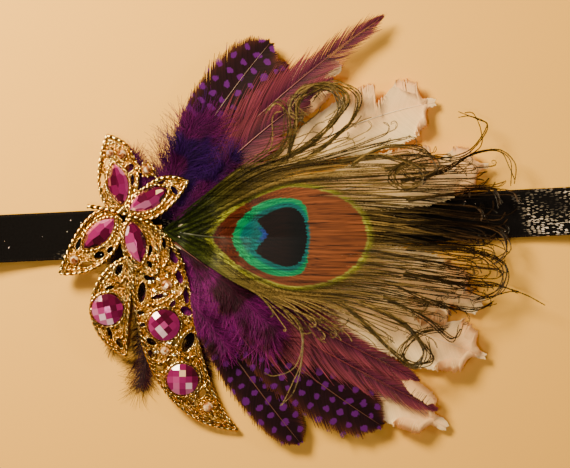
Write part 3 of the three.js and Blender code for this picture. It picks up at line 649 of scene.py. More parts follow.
def barb_finish(kind):
    row = BARB_FINISHES[kind]
    material, shader = new_finish(kind + "_barbs", row["tip"], 0.55)
    tree = material.node_tree
    colour = shaded_vane(tree, row["root"], row["tip"], row["turn"], row["uneven"])
    if kind == "guinea":
        colour = guinea_dots(tree, colour)
    if kind == "goose":
        # Where a goose curl shows its underside, the colour turns darker orange: painted shade inside the
        # roll.
        painted_roll_shade_mask = place_node(tree, "ShaderNodeNewGeometry").outputs["Backfacing"]
        colour = mixed(tree, painted_roll_shade_mask, colour, GOOSE_PAINTED_ROLL_SHADE)
    tree.links.new(colour, shader.inputs["Base Color"])
    shader.inputs["Specular IOR Level"].default_value = row["gloss"]
    return material


barb_finishes = {kind: barb_finish(kind) for kind in VANES}
shaft_finishes = {
    kind: new_finish(kind + "_shaft", colour, 0.4)[0] for kind, colour in SHAFT_COLOURS.items()
}


def quill_shaft(row):
    turn = math.radians(row["turn"])
    start = (QUILL_START * math.cos(turn), QUILL_START * math.sin(turn))
    return Shaft(start, row["bend"], row["tip"])


for row in FEATHERS:
    kind = row["kind"]
    shaft = quill_shaft(row)
    barbs = vane_barbs(row, shaft, HABITS[kind], random.Random(row["name"]))
    feather_mesh = joined([barbs, shaft_tube(shaft, row["layer"], 0, SHAFT_RADIUS)])
    feather = finished(row["name"], feather_mesh, barb_finishes[kind], shaft_finishes[kind])
    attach(feather, "root")
    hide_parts(row["node"])

# The fluff: three tufts of dyed marabou down tied in at the hub. Fine soft strands stand out all round
# a short shaft, and the tips curl over. Where they run under the brooch they are pressed flat by it.
BROOCH_AT = (-12, 6.3)
BROOCH_SEAT = 5.1
PLATE_THICKNESS = 1.2
TIP_CLEARANCE = 0.25
DOME_CENTRE = Vector((4, -6))
LEAVES = [
    {"root": (0, 0.8), "length": 25.4, "turn": 102.8,
     "left": (0, 0.38, 0.6, 0.27), "right": (0.15, -0.27, 0.75, -0.52)},
    {"root": (1.5, 0.5), "length": 22.1, "turn": 25.8,
     "left": (0.25, 0.22, 0.75, 0.38), "right": (0.05, -0.42, 0.65, -0.27)},
    {"root": (-2, -1), "length": 27.3, "turn": 225.3,
     "left": (0.05, 0.3, 0.65, 0.45), "right": (0, -0.36, 0.6, -0.22)},
    {"root": (1.5, -2), "length": 21.2, "turn": -63.4,
     "left": (0, 0.32, 0.55, 0.34), "right": (0.15, -0.28, 0.75, -0.52)},
    {"root": (1.4, -14.8), "length": 33.2, "turn": -90.9,
     "left": (0.3, 0.07, 0.7, -0.02), "right": (0.15, -0.39, 0.75, -0.56)},
    {"root": (3.6, -2.4), "length": 78.3, "turn": -64.1,
     "left": (0.2, 0.28, 0.62, -0.12), "right": (0.3, -0.19, 0.8, -0.36)},
]
FLUFFS = [
    {"name": "upper_fluff", "node": "fluff_upper", "layer": 7, "base": 1, "rise": 1.8,
     "finish": "indigo", "shafts": [
        {"line": [(0, 4), (4, 20), (12, 36)], "left": 16, "right": 22, "strands": 3400},
        {"line": [(-4, 8), (-9, 17), (-9, 26)], "left": 7, "right": 9, "strands": 900},
        {"line": [(4, 2), (16, 14), (26, 26)], "left": 10, "right": 8, "strands": 1200}]},
    {"name": "lower_fluff", "node": "fluff_lower", "layer": 7, "base": 1, "rise": 1.8,
     "finish": "magenta", "shafts": [
        {"line": [(3, -3), (20, -14), (40, -34)], "left": 13, "right": 22, "strands": 3400},
        {"line": [(2, -8), (12, -26), (24, -40)], "left": 10, "right": 12, "strands": 1800}]},
    {"name": "left_fluff", "node": "fluff_left", "layer": -2, "base": 0, "rise": 0.5,
     "finish": "brown", "shafts": [
        {"line": [(-1.9, -2), (-3, -28), (-6, -54)], "left": 10, "right": 14, "strands": 1500},
        {"line": [(-8, -2), (-21, -14), (-15, -42)], "left": 6, "right": 7, "strands": 1700},
        {"line": [(0, 0), (9, -26), (15, -50)], "left": 7, "right": 9, "strands": 3600}]},
]
DOWN_FINISHES = {
    "indigo": {"root": (0.003, 0.0, 0.012), "tip": (0.030, 0.001, 0.090), "other": (0.11, 0.003, 0.085)},
    "magenta": {"root": (0.008, 0.0, 0.008), "tip": (0.17, 0.002, 0.135), "other": (0.035, 0.001, 0.010)},
    "brown": {"root": (0.004, 0.0004, 0.003), "tip": (0.045, 0.006, 0.012), "other": (0.014, 0.001, 0.003)},
}
DOWN_STEPS = 7
PEACOCK_LAYER = 9
PEACOCK_BASE = 2
DOWN_WIDTH = 0.15


def rotated(heading, angle):
    cosine, sine = math.cos(angle), math.sin(angle)
    return Vector((heading.x * cosine - heading.y * sine, heading.x * sine + heading.y * cosine))


def leaf_point(leaf, side, share):
    """A point on a leaf's edge, a curve whose handles are shares of the leaf's length."""
    turn = math.radians(leaf["turn"])
    along = Vector((math.cos(turn), math.sin(turn))) * leaf["length"]
    across = Vector((-along.y, along.x))
    near_forward, near_out, far_forward, far_out = leaf[side]
    near = along * near_forward + across * near_out
    far = along * far_forward + across * far_out
    back = 1 - share
    bent = Vector(leaf["root"]) + near * 3 * back ** 2 * share + far * 3 * back * share ** 2
    return bent + along * share ** 3


def brooch_height(point):
    """The underside of the brooch's plate, which falls from its middle to the tip of the long leaf."""
    axis = leaf_point(LEAVES[-1], "left", 1) - DOME_CENTRE
    share = (point - DOME_CENTRE).dot(axis) / axis.length_squared
    return BROOCH_SEAT - (BROOCH_SEAT - TIP_CLEARANCE) * share * share


def on_brooch(point, lift):
    return on_trim(point.x + BROOCH_AT[0], point.y + BROOCH_AT[1], brooch_height(point) + lift)


def leaf_outline(leaf):
    out = [leaf_point(leaf, "right", step / 16) for step in range(17)]
    return out + [leaf_point(leaf, "left", 1 - step / 16) for step in range(1, 17)]


LEAF_OUTLINES = [leaf_outline(leaf) for leaf in LEAVES]


def inside_leaf(outline, point, margin):
    """Whether a point lies inside a leaf and at least a margin from the corners of its outline."""
    odd = False
    for start, end in zip(outline, outline[1:] + outline[:1]):
        if (start.y > point.y) != (end.y > point.y):
            if point.x < start.x + (point.y - start.y) * (end.x - start.x) / (end.y - start.y):
                odd = not odd
        if (point - start).length < margin:
            return False
    return odd


def down_finish(kind):
    row = DOWN_FINISHES[kind]
    material, shader = new_finish(kind + "_down", row["tip"], 0.7)
    tree = material.node_tree
    colour = shaded_vane(tree, row["root"], row["tip"], 0.8, 1.3)
    second = shaded_vane(tree, row["root"], row["other"], 0.8, 1.3)
    place = place_node(tree, "ShaderNodeTexCoord").outputs["Object"]
    dye = cloudy(tree, place, 75.0)
    tree.links.new(mixed(tree, eased(tree, dye, 0.42, 0.58), colour, second), shader.inputs["Base Color"])
    shader.inputs["Specular IOR Level"].default_value = 0.15
    return material


def down_strands(row, growth, draw):
    """Strands round a shaft, each leaving it at its own slant and bending on."""
    shaft = Shaft(*growth["line"])
    paths = []
    for _ in range(growth["strands"]):
        share = draw.random() ** 1.1 * 0.95
        side = 1 if draw.random() < growth["left"] / (growth["left"] + growth["right"]) else -1
        full = growth["left"] if side > 0 else growth["right"]
        length = full * (0.35 + 0.85 * draw.random() ** 1.6) * (1 - 0.35 * share)
        slant = side * math.radians(8 + 72 * draw.random())
        bend = -side * math.radians(draw.uniform(-25, 70))
        rise = draw.uniform(-0.4, row["rise"])
        point = shaft.at(share)
        heading = shaft.heading(share)
        rows = []
        for step in range(DOWN_STEPS + 1):
            along = step / DOWN_STEPS
            turned = slant + bend * along
            ahead = rotated(heading, turned)
            if step:
                point = point + ahead * length / DOWN_STEPS
            lift = rest_height(point.x, point.y, row["layer"], row["base"])
            lift = lift + 0.3 + rise * math.sin(math.pi * along)
            at_brooch = point - Vector(BROOCH_AT)
            if any(inside_leaf(outline, at_brooch, 0) for outline in LEAF_OUTLINES):
                lift = min(lift, brooch_height(at_brooch) - 0.3)
            if abs(point.y + 1) < 0.8 * point.x:
                lift = min(lift, rest_height(point.x, point.y, PEACOCK_LAYER, PEACOCK_BASE) - 0.2)
            width = DOWN_WIDTH * (1 - 0.6 * along)
            rows.append(ribbon_row(point, Vector((-ahead.y, ahead.x)), width, max(0.15, lift), 0.4, (0, 0)))
        paths.append(rows)
    return paths


def tuft_mesh(row):
    draw = random.Random(row["name"])
    paths = []
    for growth in row["shafts"]:
        paths += down_strands(row, growth, draw)
    stem = Shaft(*row["shafts"][0]["line"])
    return joined([lay_ribbons(paths, DOWN_STEPS), shaft_tube(stem, row["layer"], row["base"], 0.3)])


for row in FLUFFS:
    tuft = finished(row["name"], tuft_mesh(row), down_finish(row["finish"]), shaft_finishes["guinea"])
    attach(tuft, "root")
    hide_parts(row["node"])

# The peacock feather lies on top. Its barbs fan out from a short shaft, close up into the eye, and part
# again into loose herls with short barbules, which curl and tangle at their ends.
PEACOCK_SHAFT = {"start": (6.5, -0.5), "bend": (14, -2), "tip": (22, -2.2)}
EYE = {"centre": (44, -2.0), "left": 27.3, "right": 25.3, "half": 16.8,
       "left_power": 1.45, "right_power": 2.1}
GREEN_RING = {"centre": (40, -2.2), "left": 15.8, "right": 9.5, "half": 13,
              "left_power": 1.68, "right_power": 4}
HEART = {"centre": (42.5, -2.1), "left": 13.5, "right": 6.4, "half": 9.8,
         "left_power": 1.6, "right_power": 2.3}
NOTCH = (36.3, -1.3)
NOTCH_SLOPE = 0.85
# The run of every few barbs from the upper edge, round the eye, to the lower edge, from root to end.
BARB_GUIDES = [
    [(1, 0), (10, 8), (24, 19), (35, 27), (46, 36)],
    [(1, 0), (13, 8.5), (30, 20), (45, 26), (62, 33)],
    [(1.5, 0), (17, 9), (35, 19.5), (55, 24), (80, 30)],
    [(2, -0.2), (19, 8.2), (38, 17.5), (60, 21.5), (98, 24)],
    [(4, -0.4), (23, 7.6), (42, 15.5), (66, 17.5), (108, 18)],
    [(8, -0.7), (27, 6.6), (46, 12.5), (70, 13), (112, 12)],
    [(20, -1.6), (32, 5.5), (50, 9), (72, 9), (113, 6)],
    [(27, -1.9), (38, 3.5), (54, 5.5), (74, 5), (113, 1)],
    [(36, -2.1), (44, 1), (56, 2), (75, 1.5), (112, -3)],
    [(45, -2.2), (50, -2), (58, -2.2), (75, -2.5), (112, -6)],
    [(36, -2.1), (44, -5), (56, -6), (75, -6.5), (112, -9)],
    [(27, -1.9), (38, -7), (54, -9.5), (74, -10), (110, -13)],
    [(20, -1.6), (32, -8.5), (50, -13), (72, -13.5), (108, -17)],
    [(8, -0.7), (27, -9), (46, -16), (70, -17), (104, -21)],
    [(4, -0.4), (23, -9), (42, -18), (66, -20), (98, -25)],
    [(2, -0.2), (19, -8.6), (38, -19.5), (60, -22.5), (90, -29)],
    [(1.5, 0), (16, -8.8), (33, -19.5), (55, -24), (84, -35)],
    [(1, 0), (12, -7.6), (27, -17.5), (42, -24), (62, -34)],
    [(1, 0), (8, -5.6), (20, -14), (32, -21), (45, -30)],
]
PEACOCK_BARBS = 190
BARB_STEPS = 34
HERLS = [
    {"line": [(38, 22), (50, 29), (58, 37), (62, 44), (56, 48), (48, 47), (44, 41), (48, 37)], "strands": 9},
    {"line": [(42, 23), (45, 33), (46, 42), (50, 47), (57, 47), (60, 41), (55, 36)], "strands": 7},
    {"line": [(46, 22), (56, 29), (64, 37), (66, 45), (58, 49), (50, 44)], "strands": 6},
    {"line": [(36, 22), (42, 29), (43, 38), (40, 43), (36, 40)], "strands": 4},
    {"line": [(60, 23), (72, 25), (84, 22), (88, 17), (82, 14), (77, 18), (82, 23)], "strands": 8},
    {"line": [(64, 22), (74, 28), (86, 27), (92, 21), (86, 17), (80, 20)], "strands": 6},
    {"line": [(75, 20), (88, 24), (98, 24), (105, 27), (108, 34), (105, 38), (100.5, 39)], "strands": 3},
    {"line": [(80, 16), (94, 20), (104, 25), (112, 26), (117, 22), (118, 16)], "strands": 3},
    {"line": [(82, 10), (98, 12), (110, 14), (113, 8)], "strands": 4},
    {"line": [(82, 3), (100, 2), (113, 0), (116, -7), (111, -11)], "strands": 4},
    {"line": [(82, -6), (101, -6), (114, -12), (113, -20), (105, -24)], "strands": 5},
    {"line": [(81, -14), (96, -17), (111, -18), (119, -21)], "strands": 3},
    {"line": [(81, -14), (96, -17), (108, -22), (118, -21), (127, -24)], "strands": 1},
    {"line": [(78, -18), (92, -24), (104, -26), (111, -24)], "strands": 4},
    {"line": [(66, -23), (80, -30), (88, -39), (84, -45), (80, -41), (86, -34), (95, -33)], "strands": 7},
    {"line": [(60, -23), (70, -33), (82, -43), (90, -43), (88, -36)], "strands": 6},
    {"line": [(74, -22), (88, -29), (97, -36), (100, -32)], "strands": 4},
    {"line": [(36, -22), (46, -31), (48, -42), (45, -52), (41, -58)], "strands": 2},
    {"line": [(38, -23), (47, -33), (46, -44), (38, -48), (34, -46)], "strands": 1},
]
EYE_BARB_WIDTH = 0.62
HERL_WIDTH = 0.42
BARBULE_SPACING = 0.42
BARBULE_LENGTH = 0.7


def egg_distance(egg, x, y):
    """0 at the centre of an egg-shaped outline, and 1 on it."""
    side = "right" if x > egg["centre"][0] else "left"
    power = egg[side + "_power"]
    across = abs(x - egg["centre"][0]) / egg[side]
    up = abs(y - egg["centre"][1]) / egg["half"]
    return (across ** power + up ** power) ** (1 / power)


def smooth_point(points, share):
    """A point on a smooth line through several points."""
    place = min(share, 0.9999) * (len(points) - 1)
    index = int(place)
    t = place - index
    before = points[max(0, index - 1)]
    start, end = points[index], points[index + 1]
    after = points[min(len(points) - 1, index + 2)]
    return (start * 2 + (end - before) * t + (before * 2 - start * 5 + end * 4 - after) * t ** 2
            + (start * 3 - before - end * 3 + after) * t ** 3) / 2


def curled(line, turn, length, steps):
    """A line carried on past its end, turning more and more tightly."""
    heading = line[-1] - line[-2]
    angle = math.atan2(heading.y, heading.x)
    point = line[-1]
    more = []
    for step in range(1, steps + 1):
        angle += turn * (0.4 + 1.2 * step / steps) / steps
        point = point + Vector((math.cos(angle), math.sin(angle))) * length / steps
        more.append(point)
    return line + more


def even_points(line, count):
    """Points at even distances along a line."""
    travelled = [0]
    for before, after in zip(line, line[1:]):
        travelled.append(travelled[-1] + (after - before).length)
    made = []
    index = 0
    for step in range(count):
        goal = travelled[-1] * step / (count - 1)
        while index < len(line) - 2 and travelled[index + 1] < goal:
            index += 1
        span = travelled[index + 1] - travelled[index]
        made.append(line[index].lerp(line[index + 1], min(1, (goal - travelled[index]) / max(span, 1e-6))))
    return made


def peacock_lines():
    """The middle lines of all barbs of the peacock feather, in order, and then of its loose herls."""
    draw = random.Random(4)
    guides = [[Vector(point) for point in guide] for guide in BARB_GUIDES]
    lines = []
    for number in range(PEACOCK_BARBS):
        place = number / (PEACOCK_BARBS - 1) * (len(guides) - 1)
        first = min(int(place), len(guides) - 2)
        points = [low.lerp(high, place - first) for low, high in zip(guides[first], guides[first + 1])]
        points[-1] += Vector((draw.uniform(-12, 3), draw.uniform(-3.5, 3.5)))
        points[-2] += Vector((draw.uniform(-1, 1), draw.uniform(-0.4, 0.4)))
        line = [smooth_point(points, step / 30) for step in range(31)]
        outer = abs(2 * number / (PEACOCK_BARBS - 1) - 1)
        side = draw.choice((-1, 1))
        turn = side * draw.uniform(0.3, 2.6) if draw.random() < 0.75 else side * draw.uniform(2.5, 5)
        lines.append(curled(line, turn, draw.uniform(2, 9) * (1 - 0.3 * outer), 12))
    for row in HERLS:
        for _ in range(row["strands"]):
            spread = 0.6
            points = []
            for point in row["line"]:
                strayed = Vector((draw.uniform(-spread, spread), draw.uniform(-spread, spread)))
                points.append(Vector(point) + strayed)
                spread += 0.18
            lines.append([smooth_point(points, step / 40) for step in range(41)])
    return lines


def herl_height(point, number):
    """Barbs stay flat as far as the eye's end, and beyond it rise and fall over one another."""
    loose = smooth_step((egg_distance(EYE, point.x, point.y) - 1.05) / 0.6)
    stray = noise.noise(Vector((point.x * 0.05, point.y * 0.05, number * 1.7)))
    fall = 2.4 * smooth_step((point.x - 84) / 34)
    rest = rest_height(point.x, point.y, PEACOCK_LAYER, PEACOCK_BASE)
    return rest + 0.25 + loose * (0.4 + 1.6 * stray) - fall


def peacock_barbs():
    lines = peacock_lines()
    paths = []
    barbules = []
    draw = random.Random(11)
    lucks = [draw.random() for _ in lines]
    barbule_lucks = []
    for number, line in enumerate(lines):
        rows = []
        points = even_points(line, BARB_STEPS + 1)
        for step, point in enumerate(points):
            heading = (points[min(BARB_STEPS, step + 1)] - points[max(0, step - 1)]).normalized()
            inside = 1 - smooth_step((egg_distance(EYE, point.x, point.y) - 0.98) / 0.1)
            inside = inside if number < PEACOCK_BARBS else 0
            thin = HERL_WIDTH * (1 - 0.55 * step / BARB_STEPS)
            width = thin + (EYE_BARB_WIDTH - thin) * inside
            across = Vector((-heading.y, heading.x))
            spot = (point.x * MM, point.y * MM)
            rows.append(ribbon_row(point, across, width, herl_height(point, number), 0.1, spot))
        paths.append(rows)
        run = sum((b - a).length for a, b in zip(line, line[1:]))
        loose = even_points(line, max(2, round(run / BARBULE_SPACING)))
        for place, (before, after) in enumerate(zip(loose, loose[1:])):
            if number < PEACOCK_BARBS and egg_distance(EYE, before.x, before.y) < 1.0:
                continue
            heading = (after - before).normalized()
            end = place / len(loose)
            for side in (1, -1):
                slant = side * math.radians(draw.uniform(15, 36))
                ahead = rotated(heading, slant)
                length = BARBULE_LENGTH * draw.uniform(0.7, 1.25) * (1 - 0.45 * end)
                lift = herl_height(before, number) + draw.uniform(-0.05, 0.12)
                across = Vector((-ahead.y, ahead.x))
                barbule_lucks.append(0.78 * lucks[number] + 0.22 * draw.random())
                spot = (before.x * MM, before.y * MM)
                tip = ribbon_row(before + ahead * length, across, 0.09, lift + 0.12, 0.5, spot)
                barbules.append([ribbon_row(before, across, 0.2, lift, 0.5, spot), tip])
    return lay_ribbons(paths, BARB_STEPS, lucks), lay_ribbons(barbules, 1, barbule_lucks)


def egg_nodes(tree, egg, x, y):
    """The egg distance again, as nodes."""
    from_centre = maths(tree, "SUBTRACT", x, egg["centre"][0])
    right = maths(tree, "GREATER_THAN", from_centre, 0.0)
    width = maths(tree, "ADD", egg["left"], maths(tree, "MULTIPLY", right, egg["right"] - egg["left"]))
    spread = egg["right_power"] - egg["left_power"]
    power = maths(tree, "ADD", egg["left_power"], maths(tree, "MULTIPLY", right, spread))
    across = maths(tree, "POWER", maths(tree, "DIVIDE", maths(tree, "ABSOLUTE", from_centre), width), power)
    above = maths(tree, "SUBTRACT", y, egg["centre"][1])
    up = maths(tree, "DIVIDE", maths(tree, "ABSOLUTE", above), egg["half"])
    total = maths(tree, "ADD", across, maths(tree, "POWER", up, power))
    return maths(tree, "POWER", total, maths(tree, "DIVIDE", 1.0, power))


PEACOCK_COLOURS = {
    "base": (0.024, 0.032, 0.004), "gold": (0.165, 0.102, 0.030), "far": (0.034, 0.016, 0.006),
    "lime": (0.20, 0.20, 0.022), "maroon": (0.060, 0.011, 0.005), "copper": (0.155, 0.042, 0.012),
    "green": (0.0, 0.19, 0.075), "teal": (0.0, 0.085, 0.095), "blue": (0.012, 0.032, 0.20),
    "heart": (0.006, 0.002, 0.0015), "heart_edge": (0.001, 0.001, 0.001),
    "shaft": (0.02, 0.022, 0.006),
}


def peacock_finish(name, darker):
    """Colours by the place on the feather: each barb takes part in the eye's rings where it crosses them."""
    material, shader = new_finish(name, PEACOCK_COLOURS["gold"], 0.42)
    tree = material.node_tree
    paint = PEACOCK_COLOURS
    vane = place_node(tree, "ShaderNodeUVMap", uv_map="vane").outputs[0]
    chance = place_node(tree, "ShaderNodeAttribute", attribute_name="chance").outputs["Fac"]
    place = place_node(tree, "ShaderNodeSeparateXYZ", {0: vane}).outputs
    jitter = maths(tree, "MULTIPLY", maths(tree, "SUBTRACT", chance, 0.5), 0.6)
    x = maths(tree, "ADD", maths(tree, "DIVIDE", place[0], MM), jitter)
    y = maths(tree, "DIVIDE", place[1], MM)
    outer = egg_nodes(tree, EYE, x, y)
    inner = egg_nodes(tree, GREEN_RING, x, y)
    colour = mixed(tree, eased(tree, x, 10.0, 46.0), paint["base"], paint["gold"])
    colour = mixed(tree, eased(tree, x, 66.0, 102.0), colour, paint["far"])
    lime = maths(tree, "SUBTRACT", eased(tree, outer, 0.965, 0.99), eased(tree, outer, 1.02, 1.09))
    lime = maths(tree, "MULTIPLY", lime, maths(tree, "ADD", 0.45, maths(tree, "MULTIPLY", chance, 0.55)))
    copper = mixed(tree, eased(tree, x, 22.0, 52.0), paint["maroon"], paint["copper"])
    colour = mixed(tree, eased(tree, outer, 0.985, 0.965), colour, copper)
    colour = mixed(tree, lime, colour, paint["lime"])
    colour = mixed(tree, eased(tree, inner, 1.01, 0.985), colour, paint["green"])
    core = egg_nodes(tree, HEART, x, y)
    colour = mixed(tree, eased(tree, core, 1.22, 1.1), colour, paint["teal"])
    off_axis = maths(tree, "ABSOLUTE", maths(tree, "SUBTRACT", y, NOTCH[1]))
    notch = maths(tree, "SUBTRACT", NOTCH[0], maths(tree, "MULTIPLY", off_axis, NOTCH_SLOPE))
    beyond = maths(tree, "SUBTRACT", x, notch)
    heart = maths(tree, "MULTIPLY", eased(tree, core, 1.02, 0.99), eased(tree, beyond, -0.3, 0.2))
    blue = maths(tree, "MULTIPLY", eased(tree, beyond, -2.6, -1.0), eased(tree, off_axis, 3.2, 1.0))
    blue = maths(tree, "MULTIPLY", blue, eased(tree, beyond, 3.0, 1.0))
    colour = mixed(tree, blue, colour, paint["blue"])
    dark = mixed(tree, eased(tree, x, 40.0, 47.0), paint["heart"], paint["heart_edge"])
    colour = mixed(tree, heart, colour, dark)
    barb = place_node(tree, "ShaderNodeUVMap", uv_map="barb").outputs[0]
    across = place_node(tree, "ShaderNodeSeparateXYZ", {0: barb}).outputs[1]
    loose = eased(tree, outer, 0.98, 1.08)
    spread = maths(tree, "ADD", 0.5, maths(tree, "MULTIPLY", loose, 1.3 + darker))
    tone_and_painted_shade = maths(tree, "SUBTRACT", 0.5, maths(tree, "MULTIPLY", loose, 0.44 + darker / 3))
    # Each barb is painted lighter towards one edge and darker towards the other: painted shade for its
    # roundness.
    tone_and_painted_shade = maths(tree, "ADD", tone_and_painted_shade, maths(tree, "MULTIPLY", across, 0.35))
    tone_and_painted_shade = maths(tree, "ADD", tone_and_painted_shade, maths(tree, "MULTIPLY", maths(tree, "POWER", chance, 2.2), spread))
    drawn = place_node(tree, "ShaderNodeMapping", {"Vector": vane, "Scale": (50, 1500, 1)}).outputs[0]
    streak = cloudy(tree, drawn, 1.0)
    tone_and_painted_shade = maths(tree, "MULTIPLY", tone_and_painted_shade, eased(tree, streak, 0.2, 0.6))
    shaded = place_node(tree, "ShaderNodeVectorMath", {0: colour, "Scale": tone_and_painted_shade}, operation="SCALE")
    tree.links.new(shaded.outputs[0], shader.inputs["Base Color"])
    shader.inputs["Specular IOR Level"].default_value = 0.12
    return material


peacock_parts = [*peacock_barbs(), shaft_tube(Shaft(**PEACOCK_SHAFT), PEACOCK_LAYER, PEACOCK_BASE, 0.5)]
plume_shaft_finish = new_finish("plume_shaft", PEACOCK_COLOURS["shaft"], 0.5)[0]
peacock = finished("peacock_plume", joined(peacock_parts), peacock_finish("eye_barbs", 0.0),
                   peacock_finish("herl_barbules", 0.3), plume_shaft_finish)
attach(peacock, "root")
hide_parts("peacock_feather")

# The brooch: one gilt casting, a butterfly with two leaves hanging from it, pinned over the quills. Its
# pierced and domed plate carries twisted rims, inner cords, scrolls, granules and petals.
BODY_LINE = [(-12.1, 2), (-6.5, 1.2), (-0.4, -0.3), (4.4, -1.8), (9, -3.7), (13.2, -7.6), (16.7, -12.1),
             (20, -17.8)]
SCROLLS = [
    [(3.6, 14.5), (5.6, 14.4), (7.6, 14.1)],
    [(7.6, 14.1), (9.8, 12.7), (11.5, 10.8)],
    [(1.5, 1), (4.2, 6.6), (4.4, 10)],
    [(9.5, -17), (12, -13), (12.6, -8)],
    [(12.6, -19), (15, -15), (14.4, -10)],
    [(12.6, -19), (16.5, -20.5), (18.6, -17.5)],
    [(17, -29), (20, -26), (20.5, -21)],
    [(7.4, -31), (12, -30.5), (16.6, -27.8)],
    [(17.5, -46), (19, -42), (22.8, -38.5)],
    [(17.5, -46), (20, -48.5), (23.6, -48)],
    [(6.8, -41.5), (8, -45), (11, -45.6)],
    [(7.8, -49), (11.5, -50.5), (15.4, -49)],
    [(23, -64), (24.5, -60), (27.4, -57.6)],
    [(-4.2, -21.5), (-2.6, -17.8), (0.2, -17)],
    [(-4.2, -21.5), (-1.2, -23.6), (0.8, -21.2)],
]
OPENINGS = [
    (1.8, 14.6, 2.6, 1.8, 40), (2.7, 10.4, 3.2, 1.1, 85), (-7.2, 10.6, 3.4, 1.1, 84),
    (-5.6, 16.6, 2.2, 1, 70), (11.4, 9, 4.6, 1, 33), (16.8, 7.2, 2.6, 1.2, -50),
    (-15, -10.6, 3.2, 1.2, 66), (-8.2, -14.4, 2.6, 2, 20), (-12.4, -17.4, 3, 1.4, 8),
    (-4.6, -12.6, 2, 1.2, 50), (8.6, -12.8, 2.8, 1.4, 80), (8.6, -17.4, 2, 1.2, -60),
    (13, -9.4, 4.4, 1.2, -76), (11.2, -14.4, 4, 1.1, -84), (16.2, -14.2, 4.8, 2, -64),
    (18.4, -21.6, 3.6, 1.6, -70), (20.8, -27.6, 4.6, 1.5, -86), (-1.6, -19.2, 3.2, 1.6, 68),
    (-4.6, -25.2, 2.4, 1, 20), (-4.8, -40.2, 3.4, 1.1, -72), (-1.4, -43.6, 2.8, 1.5, -60),
    (-7.8, -40, 2, 1, -60), (6, -26.8, 5.2, 1.9, 84), (8.6, -22, 3, 1.6, -20),
    (12, -28, 4.4, 1.2, 14), (16.2, -30.8, 2.2, 1.2, 60), (20.8, -33, 3.2, 2, -30),
    (5.4, -33.6, 2.4, 1.2, 10), (6, -37.6, 2.4, 1, 0), (9.2, -43.2, 2.8, 1.6, -30),
    (9, -47.4, 2.4, 1.5, -50), (17, -43.2, 2.6, 1.6, 50), (21.4, -43.4, 5.2, 2.6, 66),
    (11.6, -52.2, 2.4, 1.2, -30), (16, -50.2, 2.2, 1, 10), (12.8, -56.4, 3, 1.2, -62),
    (25.9, -60.4, 3, 1.8, 62), (22.4, -63.4, 2.4, 1, -50),
]
MARQUISES = [
    {"name": "marquise_cut_1", "node": "marquise_1", "at": (-1.8, 9.1), "turn": 100,
     "bright": [(-4.2, 9.9), (-2.8, 13.2)], "warm": []},
    {"name": "marquise_cut_2", "node": "marquise_2", "at": (8.3, 4.3), "turn": 29,
     "bright": [(3.6, 1.4)], "warm": [(11.8, 6.6)]},
    {"name": "marquise_cut_3", "node": "marquise_3", "at": (-8.2, -7.2), "turn": 224,
     "bright": [(-12, -10.9)], "warm": [(-5.4, -4.0)]},
    {"name": "marquise_cut_4", "node": "marquise_4", "at": (4, -9.9), "turn": -77,
     "bright": [(1.9, -6.2)], "warm": []},
]
ROUNDS = [
    {"name": "checker_cut_1", "node": "round_stone_1", "at": (-5.3, -32.4), "turn": 12,
     "bright": [(-7.6, -35.6), (-5.5, -36.4)], "warm": []},
    {"name": "checker_cut_2", "node": "round_stone_2", "at": (13.5, -37.6), "turn": 40,
     "bright": [(11.4, -39.8), (13.6, -40.6)], "warm": []},
    {"name": "checker_cut_3", "node": "round_stone_3", "at": (19.6, -55.8), "turn": 0,
     "bright": [(21.5, -58.6)], "warm": [(19.9, -52.9)]},
]
CHATONS = [
    {"node": "chaton_1", "at": (-4.6, 19.6), "across": 2.6},
    {"node": "chaton_2", "at": (-0.7, 19.2), "across": 3.2},
    {"node": "chaton_3", "at": (7.6, 14.1), "across": 3.4},
    {"node": "chaton_4", "at": (-16.4, -16), "across": 3},
    {"node": "chaton_5", "at": (14.3, -24.4), "across": 3.6},
    {"node": "chaton_6", "at": (13.7, -46.4), "across": 3.2},
    {"node": "chaton_7", "at": (28, -65.2), "across": 3.4},
]
MARQUISE_LENGTH = 14
MARQUISE_WIDTH = 6.6
ROUND_DIAMETER = 10.4
STONE_HEIGHT = 3
STONE_CLEARANCE = 0.3
BEZEL_WALL = 0.8
RIM_ROPE = {"radius": 0.54, "pitch": 2.0, "lobe": 0.32, "lift": 1.9}
INNER_ROPE = {"radius": 0.32, "pitch": 1.6, "lobe": 0.32, "lift": 1.45}
SCROLL_ROPE = {"radius": 0.4, "pitch": 1.6, "lobe": 0.32, "lift": 1.75}
BODY_ROPE = {"radius": 0.66, "pitch": 2.0, "lobe": 0.32, "lift": 2.6}
BEZEL_ROPE = {"radius": 0.34, "pitch": 1.4, "lobe": 0.34, "lift": 2.3}
OPENING_ROPE = {"radius": 0.22, "pitch": 1.0, "lobe": 0.34, "lift": 1.35}
ROPE_STEP = 0.25
OPENING_GROWTH = 1.35
PETAL_LIFT = 1.9
PLATE_CELL = 0.36
PLATE_MIDDLE = (8, -24)
PLATE_HALF = (33, 53)
INNER_OFFSET = 1.4
GRANULES = 800
GILT = (0.84, 0.47, 0.09)
GILT_PALE = (1.0, 0.74, 0.29)
# The dark gold painted into the grain's hollows and the ropes' grooves as painted shade.
GILT_PAINTED_SHADE = (0.06, 0.018, 0.003)
PLATE_GILT_IN_PAINTED_SHADE = (0.42, 0.17, 0.016)
PETAL_PAINTED_HIGHLIGHT = (1.0, 0.96, 0.86)
# Petals round the flower's stone, and a pair of leaves beside it, gilded near white as a painted highlight:
# where, length, width and turn.
PETALS = [
    (8.9, -23.3, 3.4, 1.7, 10), (10.4, -26.2, 3.0, 1.5, -35), (14.3, -21.4, 2.4, 1.5, 90),
    (17.2, -23.4, 2.4, 1.5, 20), (16.6, -26.6, 2.4, 1.5, -45), (13.8, -27.6, 2.4, 1.5, -95),
    (11.6, -22.4, 2.2, 1.4, 140), (10.6, -46.8, 2.6, 1.3, 200), (16.8, -47.6, 2.6, 1.3, -30),
    (15.2, -43.8, 2.4, 1.3, 60),
]


